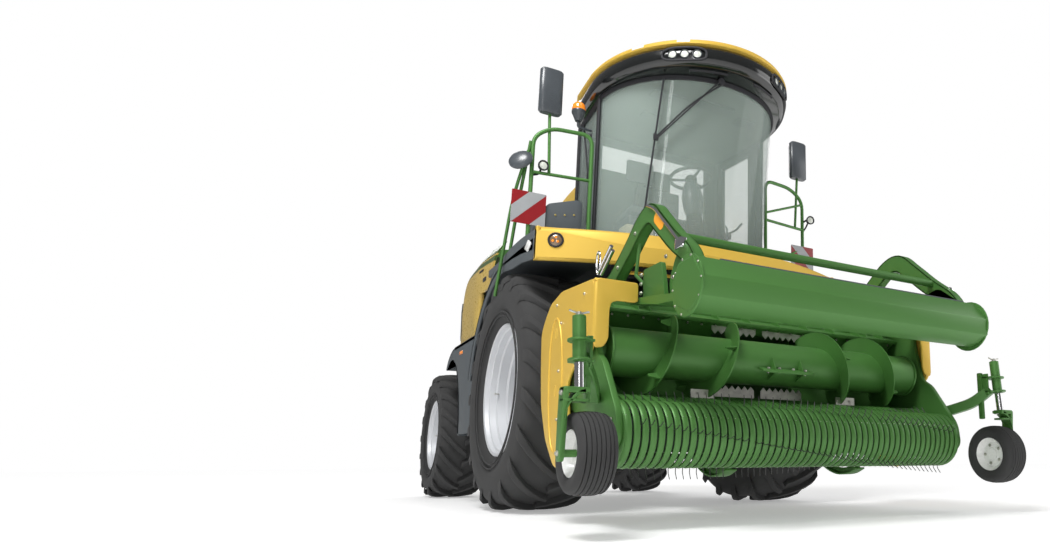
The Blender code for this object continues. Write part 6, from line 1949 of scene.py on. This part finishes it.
    def ladder(self):
        low, high = 1.4503, 1.65
        shapes = []
        for y in (1.11, 1.48):
            shapes.append(block((low, y, 0.44), (low + 0.04, y + 0.04, 2.15), 0.005))
        for i in range(5):
            z = 0.46 + 0.36 * i
            shapes.append(block((low, 1.12, z), (low + 0.02, 1.51, z + 0.035), 0.003))
            shapes.append(block((high - 0.02, 1.12, z), (high, 1.51, z + 0.035), 0.003))
            for k in range(8):
                y = 1.125 + 0.047 * k
                shapes.append(block((low, y, z + 0.006), (high - 0.004, y + 0.010, z + 0.033), 0.001, 1))
        shapes.append(block((1.38, 1.16, 1.21), (low + 0.02, 1.24, 1.27), 0.003))
        piece("ladder_steps", shapes, "chassis", "dark_plastic", ["ladder_left"])
        rail = [tube([(low + 0.02, y, 1.20), (low + 0.06, y, 1.35), (low + 0.06, y, 2.05), (low + 0.02, y, 2.14)],
                     0.013, 12, 0.04) for y in (1.095, 1.535)]
        piece("ladder_grab_rails", rail, "chassis", "green_paint")


# ---- spout ----
SPOUT_PATH = [(0.97, 3.0), (1.02, 3.22), (1.20, 3.44), (1.55, 3.56), (2.10, 3.58), (2.80, 3.49), (3.45, 3.33),
              (4.05, 3.12)]


class HARVESTER_OT_spout(bpy.types.Operator):
    """Turntable, curved discharge chute, end flap and the cylinder that lifts the chute"""
    bl_idname = "harvester.spout"
    bl_label = "Discharge spout"

    def execute(self, context):
        self.turret()
        self.chute()
        self.flap()
        self.cylinder()
        return {"FINISHED"}

    def turret(self):
        centre = pin("spout_slew")
        cup = [(0.215, 0.0), (0.262, 0.0), (0.262, 0.045), (0.240, 0.055), (0.235, 0.07), (0.235, 0.345),
               (0.245, 0.350), (0.245, 0.360), (0.215, 0.36)]
        shapes = [turned(cup, centre, (0, 0, 1), 64)]
        for side in (-1, 1):
            ear = mirrored(0.2203, 0.24, side)
            shapes.append(bar((centre.y, centre.z + 0.20), tuple(pin("spout_lift").yz), 0.10, *ear, 0.004))
            lug = mirrored(0.05, 0.075, side)
            base = pin("spout_cylinder_pivot")
            shapes.append(block((lug[0], centre.y + 0.20, base.z - 0.05), (lug[1], base.y + 0.04, base.z + 0.04), 0.006))
        piece("spout_turntable", shapes, "spout_turret", "yellow_paint", ["spout_turret"])
        teeth = []
        for k in range(60):
            a = math.tau * k / 60
            out = Vector((math.cos(a), math.sin(a), 0))
            spot = centre + out * 0.264 + Vector((0, 0, 0.022))
            teeth.append(rod(spot - Vector((0, 0, 0.020)), spot + Vector((0, 0, 0.020)), 0.0058, 6))
        for k in range(12):
            a = math.tau * (k + 0.5) / 12
            spot = centre + Vector((math.cos(a), math.sin(a), 0)) * 0.249 + Vector((0, 0, 0.052))
            teeth += bolts([spot], (0, 0, 1), 0.007, False)
        for side in (-1, 1):
            teeth += bolts([(side * 0.24, pin("spout_lift").y, pin("spout_lift").z)], (side, 0, 0), 0.020)
        piece("spout_ring_gear", teeth, "spout_turret", "steel")

    def rings(self, grow=0.0, start=0.0, stop=1.0, steps=48):
        """Sections of the duct between two shares of its length."""
        line = smooth_line([(0, *p) for p in SPOUT_PATH], 8)
        line[0] = Vector((0, *SPOUT_PATH[0]))
        made = []
        for i in range(steps + 1):
            at = (start + (stop - start) * i / steps) * (len(line) - 1)
            k = min(int(at), len(line) - 2)
            point = line[k].lerp(line[k + 1], at - k)
            ahead = (line[min(k + 2, len(line) - 1)] - line[max(k - 1, 0)]).normalized()
            if at < 0.5:
                ahead = Vector((0, 0, 1))
            up = Vector((1, 0, 0)).cross(ahead)
            half, depth = 0.199 + grow, 0.139 + grow
            corners = [(-half, -depth), (half, -depth), (half, depth), (-half, depth)]
            outline = rounded_outline(corners, 0.02, 3)
            made.append([point + Vector((a, 0, 0)) + up * b for a, b in outline])
        return made

    def chute(self):
        outer, inner = self.rings(), self.rings(-0.008)
        bm = bmesh.new()
        rows = [[[bm.verts.new(p) for p in ring] for ring in rings] for rings in (outer, inner)]
        count = len(outer[0])
        for walls in rows:
            for near, far in zip(walls, walls[1:]):
                for i in range(count):
                    j = (i + 1) % count
                    bm.faces.new((near[i], near[j], far[j], far[i]))
        for end in (0, -1):
            a, b = rows[0][end], rows[1][end]
            for i in range(count):
                j = (i + 1) % count
                bm.faces.new((a[i], a[j], b[j], b[i]))
        shapes = [tidy(bm)]
        lift = pin("spout_lift")
        for side in (-1, 1):
            knob = mirrored(0.19, 0.22, side)
            shapes.append(bar((lift.y + 0.14, lift.z + 0.10), (lift.y, lift.z), 0.09, *knob, 0.004))
            lug = mirrored(0.028, 0.05, side)
            y, z = 2.02, 3.33
            shapes.append(block((lug[0], y - 0.035, z - 0.035), (lug[1], y + 0.035, z + 0.13), 0.005))
        piece("spout_duct", shapes, "spout_chute", "yellow_paint", ["spout_chute"])
        ribs = []
        for start in (0.012, 0.30, 0.52, 0.74, 0.985):
            ribs.append(loft(self.rings(0.012, start - 0.004, start + 0.004, 1)))
        piece("spout_flanges", ribs, "spout_chute", "green_paint")
        heads = []
        for start in (0.12, 0.21, 0.41, 0.46, 0.60, 0.66, 0.80, 0.86, 0.92):
            ring = self.rings(0.0, start, start + 0.001, 1)[0]
            middle = sum(ring, Vector()) / len(ring)
            for side in (-1, 1):
                heads += bolts([middle + Vector((side * 0.199, 0, 0))], (side, 0, 0), 0.009)
        piece("spout_liner_bolts", heads, "spout_chute", "zinc")

    def flap(self):
        hinge = pin("spout_flap_tilt")
        along = Vector((0, 4.05 - 3.45, 3.12 - 3.33)).normalized()
        up = Vector((1, 0, 0)).cross(along)
        start = hinge + up * 0.012
        plate = []
        for i in range(9):
            reach = 0.40 * i / 8
            spot = start + along * reach
            crown = 0.0
            plate.append([spot + Vector((s * 0.199, 0, 0)) + up * (lift + crown) for s, lift in
                          ((-1, -0.014), (1, -0.014), (1, -0.002), (-1, -0.002))])
        shapes = [softened(loft(plate), 0.002, 1)]
        for side in (-1, 1):
            x0, x1 = mirrored(0.186, 0.199, side)
            cheek = []
            for reach, drop in ((0.02, 0.018), (0.02, 0.002), (0.40, 0.002), (0.40, 0.16), (0.30, 0.165), (0.16, 0.12)):
                p = start + along * reach - up * drop
                cheek.append((p.y, p.z))
            shapes.append(slab(rounded_outline(cheek, 0.015), "X", x0, x1, 0.002))
        for reach in (0.13, 0.27, 0.385):
            spot = start + along * reach
            shapes.append(tube([spot + Vector((-0.19, 0, 0)) - up * 0.002, spot + Vector((0.19, 0, 0)) - up * 0.002],
                               0.007, 8))
        piece("spout_deflector", shapes, "spout_flap", "yellow_paint", ["spout_flap"])
        knuckles = []
        for k in range(5):
            x = -0.17 + 0.085 * k
            knuckles.append(rod((x - 0.025, hinge.y, hinge.z), (x + 0.025, hinge.y, hinge.z), 0.012, 20, bevel=0.002))
        piece("spout_hinge", knuckles, "spout_flap", "zinc")
        lamp = [rod(start + along * 0.30 + Vector((0, 0, 0.0)), start + along * 0.30 + Vector((0, 0, 0.001)), 0.02)]
        for bm in lamp:
            bm.free()

    def cylinder(self):
        base = pin("spout_cylinder_pivot")
        eye = Vector((0, 2.02, 3.33))
        along = (eye - base).normalized()
        length = (eye - base).length
        barrel = [(0.0, -0.028), (0.036, -0.028), (0.038, -0.02), (0.038, 0.52), (0.0395, 0.525), (0.0395, 0.555),
                  (0.036, 0.56), (0.0205, 0.56), (0.0205, 0.04), (0.0, 0.04)]
        piece("spout_barrel_turned", [turned(barrel, base, along, 32), rod(base - Vector((0.049, 0, 0)),
              base + Vector((0.049, 0, 0)), 0.02, 20)], "spout_barrel", "chassis_paint", ["spout_cylinder"])
        rod_shape = [(0.0, 0.08), (0.0195, 0.08), (0.0195, length), (0.0, length)]
        eye_rod = rod(eye - Vector((0.0275, 0, 0)), eye + Vector((0.0275, 0, 0)), 0.026, 24, bevel=0.003)
        piece("spout_rod_turned", [turned(rod_shape, base, along, 28), eye_rod], "spout_rod", "chrome_rod",
              ["spout_rod"])


# ---- chassis ----
class HARVESTER_OT_chassis(bpy.types.Operator):
    """Frame, axles, engine, crop housing, intake and the header's lift cylinders"""
    bl_idname = "harvester.chassis"
    bl_label = "Chassis"

    def execute(self, context):
        refinish(["main_frame", "rear_axle", "engine"], "chassis_paint", 0.004)
        refinish(["front_axle", "knuckle_right", "knuckle_left"], "chassis_paint", 0.002)
        refinish(["chopper_housing", "intake_housing"], "green_paint", 0.004)
        self.lift()
        self.axle_details()
        self.engine_details()
        return {"FINISHED"}

    def lift(self):
        base, eye = pin("lift_cylinder_pivot"), Vector((0, -1.15, 0.755))
        along = (eye - base).normalized()
        length = (eye - base).length
        barrel = [(0.0, -0.045), (0.048, -0.045), (0.050, -0.03), (0.050, 0.55), (0.0515, 0.555), (0.0515, 0.595),
                  (0.046, 0.60), (0.0308, 0.60), (0.0308, 0.05), (0.0, 0.05)]
        rods = [(0.0, 0.12), (0.0295, 0.12), (0.0295, length), (0.0, length)]
        barrels = [rod(base - Vector((0.3897, 0, 0)), base + Vector((0.3897, 0, 0)), 0.028, 20)]
        stems = [rod(eye - Vector((0.3897, 0, 0)), eye + Vector((0.3897, 0, 0)), 0.022, 20)]
        for side in (-1, 1):
            shift = Vector((side * 0.33, 0, 0))
            barrels.append(turned(barrel, base + shift, along, 36))
            stems.append(turned(rods, base + shift, along, 32))
            stems.append(rod(eye + shift - Vector((0.03, 0, 0)), eye + shift + Vector((0.03, 0, 0)), 0.045, 28,
                             bevel=0.004))
        piece("lift_barrels_turned", barrels, "lift_barrels", "chassis_paint", ["lift_cylinders"])
        piece("lift_rods_turned", stems, "lift_rods", "chrome_rod", ["lift_rods"])
        lines = [tube([(side * 0.33, -0.20, 0.69), (side * 0.30, -0.10, 0.78), (side * 0.25, 0.20, 0.84),
                       (side * 0.22, 0.60, 0.98)], 0.011, 10, 0.08) for side in (-1, 1)]
        hoses = piece("lift_hoses", lines, None, "hydraulic_hose")
        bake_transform(hoses)

    def axle_details(self):
        heads = []
        z = AXLE.z
        for side in (-1, 1):
            for k in range(12):
                a = math.tau * k / 12
                heads += bolts([(side * 0.975, 0.165 * math.cos(a), z + 0.165 * math.sin(a))], (side, 0, 0), 0.010)
            hub = rod((side * 0.60, 0, z), (side * 0.66, 0, z), 0.235, 48, 0.205, 0.01)
            piece(f"final_drive_{'left' if side > 0 else 'right'}", [hub], "chassis", "chassis_paint")
        for y in (-0.55, -0.40, 0.30, 0.60, 0.85):
            for side in (-1, 1):
                heads += bolts([(side * 0.56, y, 1.76)], (side, 0, 0), 0.012)
        rear = pin("steer_left")
        for side in (-1, 1):
            heads += bolts([(side * abs(rear.x), rear.y, rear.z + 0.195)], (0, 0, 1), 0.018)
        piece("axle_bolts", heads, "chassis", "zinc")
        rear_y = rear.y + 0.105
        cylinder = [rod((-0.28, rear_y, rear.z), (0.28, rear_y, rear.z), 0.038, 28, bevel=0.006)]
        piece("steering_cylinder", cylinder, "chassis", "chassis_paint")
        rods = [rod((-0.62, rear_y, rear.z), (0.62, rear_y, rear.z), 0.018, 20)]
        piece("steering_rod", rods, "chassis", "chrome_rod")

    def engine_details(self):
        low, high = cad("engine")
        fins = []
        for k in range(14):
            y = low.y + 0.10 + 0.07 * k
            for side in (-1, 1):
                x = side * high.x
                fins.append(block((min(x, x + side * 0.02), y, 1.45), (max(x, x + side * 0.02), y + 0.02, 2.05),
                                  0.003, 1))
        piece("engine_fins", fins, "chassis", "steel")
        covers = [block((-0.30, low.y + 0.08 + 0.36 * k, high.z - 0.01), (0.30, low.y + 0.36 + 0.36 * k, high.z + 0.05),
                        0.02, 3) for k in range(3)]
        piece("engine_covers", covers, "chassis", "dark_plastic")
        pipe_run = [tube([(0.40, 2.4, 2.10), (0.56, 2.4, 2.16), (0.60, 2.7, 2.18), (0.60, 3.15, 2.18)], 0.06, 20, 0.12)]
        piece("exhaust_pipe", pipe_run, "chassis", "steel")


# ---- stage ----
class HARVESTER_OT_stage(bpy.types.Operator):
    """Pale floor, soft lights and the camera"""
    bl_idname = "harvester.stage"
    bl_label = "Stage"

    def execute(self, context):
        scene = context.scene
        self.camera(scene)
        mesh = bpy.data.meshes.new("floor")
        reach = 60.0
        mesh.from_pydata([(-reach, -reach, 0), (reach, -reach, 0), (reach, reach, 0), (-reach, reach, 0)], [],
                         [(0, 1, 2, 3)])
        floor = bpy.data.objects.new("floor", mesh)
        scene.collection.objects.link(floor)
        surface, tree, shader, spot = shaded("studio_floor", 0.45)
        tree.links.new(mottled(tree, spot, (0.84, 0.84, 0.84), 0.02, 0.4), shader.inputs["Base Color"])
        shader.inputs["Emission Color"].default_value = (1.0, 1.0, 1.0, 1.0)
        away = node(tree, "VectorMath", operation="LENGTH")
        tree.links.new(spot, away.inputs[0])
        glow = node(tree, "MapRange", {"From Min": 4.0, "From Max": 14.0, "To Min": 0.34, "To Max": 0.72})
        tree.links.new(away.outputs["Value"], glow.inputs["Value"])
        tree.links.new(glow.outputs["Result"], shader.inputs["Emission Strength"])
        grained(tree, spot, shader, 4.0, 0.0002, 0.40, 0.5)
        mesh.materials.append(surface)
        world = bpy.data.worlds.new("studio")
        world.use_nodes = True
        scene.world = world
        back = world.node_tree.nodes["Background"]
        back.inputs["Color"].default_value = (1.0, 1.0, 1.0, 1.0)
        path = node(world.node_tree, "LightPath")
        level = node(world.node_tree, "MapRange", {"To Min": 0.38, "To Max": 1.0})
        world.node_tree.links.new(path.outputs["Is Camera Ray"], level.inputs["Value"])
        dimmed = node(world.node_tree, "MapRange", {"To Min": 1.0, "To Max": 0.45})
        world.node_tree.links.new(path.outputs["Is Glossy Ray"], dimmed.inputs["Value"])
        both = node(world.node_tree, "Math", operation="MULTIPLY")
        world.node_tree.links.new(level.outputs["Result"], both.inputs[0])
        world.node_tree.links.new(dimmed.outputs["Result"], both.inputs[1])
        world.node_tree.links.new(both.outputs["Value"], back.inputs["Strength"])
        low, high = cad_bounds
        middle = (Vector(low) + Vector(high)) / 2
        for name, offset, size, power in (("key", (-5.0, -5.0, 9.5), 3.5, 980.0), ("fill", (7.0, -5.0, 4.0), 5.0, 150.0),
                                          ("back", (2.0, 8.0, 8.0), 6.0, 420.0), ("strip", (-4.5, -8.5, 3.6), 0.5, 60.0)):
            data = bpy.data.lights.new(name, "AREA")
            data.size, data.energy = size, power
            if name == "strip":
                data.shape, data.size_y = "RECTANGLE", 4.0
            lamp = bpy.data.objects.new(name, data)
            lamp.location = Vector((middle.x, middle.y, 0)) + Vector(offset)
            aim = middle - lamp.location
            lamp.rotation_euler = aim.to_track_quat("-Z", "Y").to_euler()
            scene.collection.objects.link(lamp)
        scene.view_settings.view_transform = "Standard"
        return {"FINISHED"}

    def camera(self, scene):
        """The view: position, then the three directions from yaw, pitch and roll."""
        shot = scene.harvester_stage
        ahead = Vector((math.sin(shot.yaw) * math.cos(shot.pitch), math.cos(shot.yaw) * math.cos(shot.pitch),
                        math.sin(shot.pitch)))
        flat = Vector((math.cos(shot.yaw), -math.sin(shot.yaw), 0))
        above = flat.cross(ahead)
        right = flat * math.cos(shot.roll) + above * math.sin(shot.roll)
        up = above * math.cos(shot.roll) - flat * math.sin(shot.roll)
        data = bpy.data.cameras.new("camera")
        camera = bpy.data.objects.new("camera", data)
        scene.collection.objects.link(camera)
        spot = place((shot.camera_x, shot.camera_y, shot.camera_z))
        turn = Matrix((right, up, -ahead)).transposed().to_4x4()
        camera.matrix_world = Matrix.Translation(spot) @ turn
        data.sensor_width, data.lens = 36.0, shot.lens
        data.shift_x, data.shift_y = -0.2375, 0.0419
        data.clip_start, data.clip_end = 0.05, 300.0
        scene.camera = camera


class HARVESTER_PT_panel(bpy.types.Panel):
    """Sizes, colours and the steps that build the harvester"""
    bl_label = "Forage harvester"
    bl_space_type = "VIEW_3D"
    bl_region_type = "UI"
    bl_category = "Harvester"

    def draw(self, context):
        for step in STEPS:
            self.layout.operator(step.bl_idname)
        for group in (context.scene.harvester_sizes, context.scene.harvester_colours,
                      context.scene.harvester_stage):
            for key in group.bl_rna.properties.keys():
                if key not in ("rna_type", "name"):
                    self.layout.prop(group, key)


GROUPS = (HarvesterColours, HarvesterSizes, HarvesterStage)
STEPS = (HARVESTER_OT_stage, HARVESTER_OT_wheels, HARVESTER_OT_gauge_wheels, HARVESTER_OT_header_frame,
         HARVESTER_OT_header_shields, HARVESTER_OT_auger, HARVESTER_OT_pickup, HARVESTER_OT_crop_press,
         HARVESTER_OT_front_body, HARVESTER_OT_cab, HARVESTER_OT_roof, HARVESTER_OT_cab_inside,
         HARVESTER_OT_rails, HARVESTER_OT_rear_body, HARVESTER_OT_spout, HARVESTER_OT_chassis)


def register():
    for kind in (*GROUPS, *STEPS, HARVESTER_PT_panel):
        bpy.utils.register_class(kind)
    bpy.types.Scene.harvester_colours = PointerProperty(type=HarvesterColours)
    bpy.types.Scene.harvester_sizes = PointerProperty(type=HarvesterSizes)
    bpy.types.Scene.harvester_stage = PointerProperty(type=HarvesterStage)


def unregister():
    del bpy.types.Scene.harvester_stage
    del bpy.types.Scene.harvester_sizes
    del bpy.types.Scene.harvester_colours
    for kind in reversed((*GROUPS, *STEPS, HARVESTER_PT_panel)):
        bpy.utils.unregister_class(kind)


def main():
    register()
    for step in STEPS:
        family, call = step.bl_idname.split(".")
        getattr(getattr(bpy.ops, family), call)()


if __name__ == "__main__":
    main()
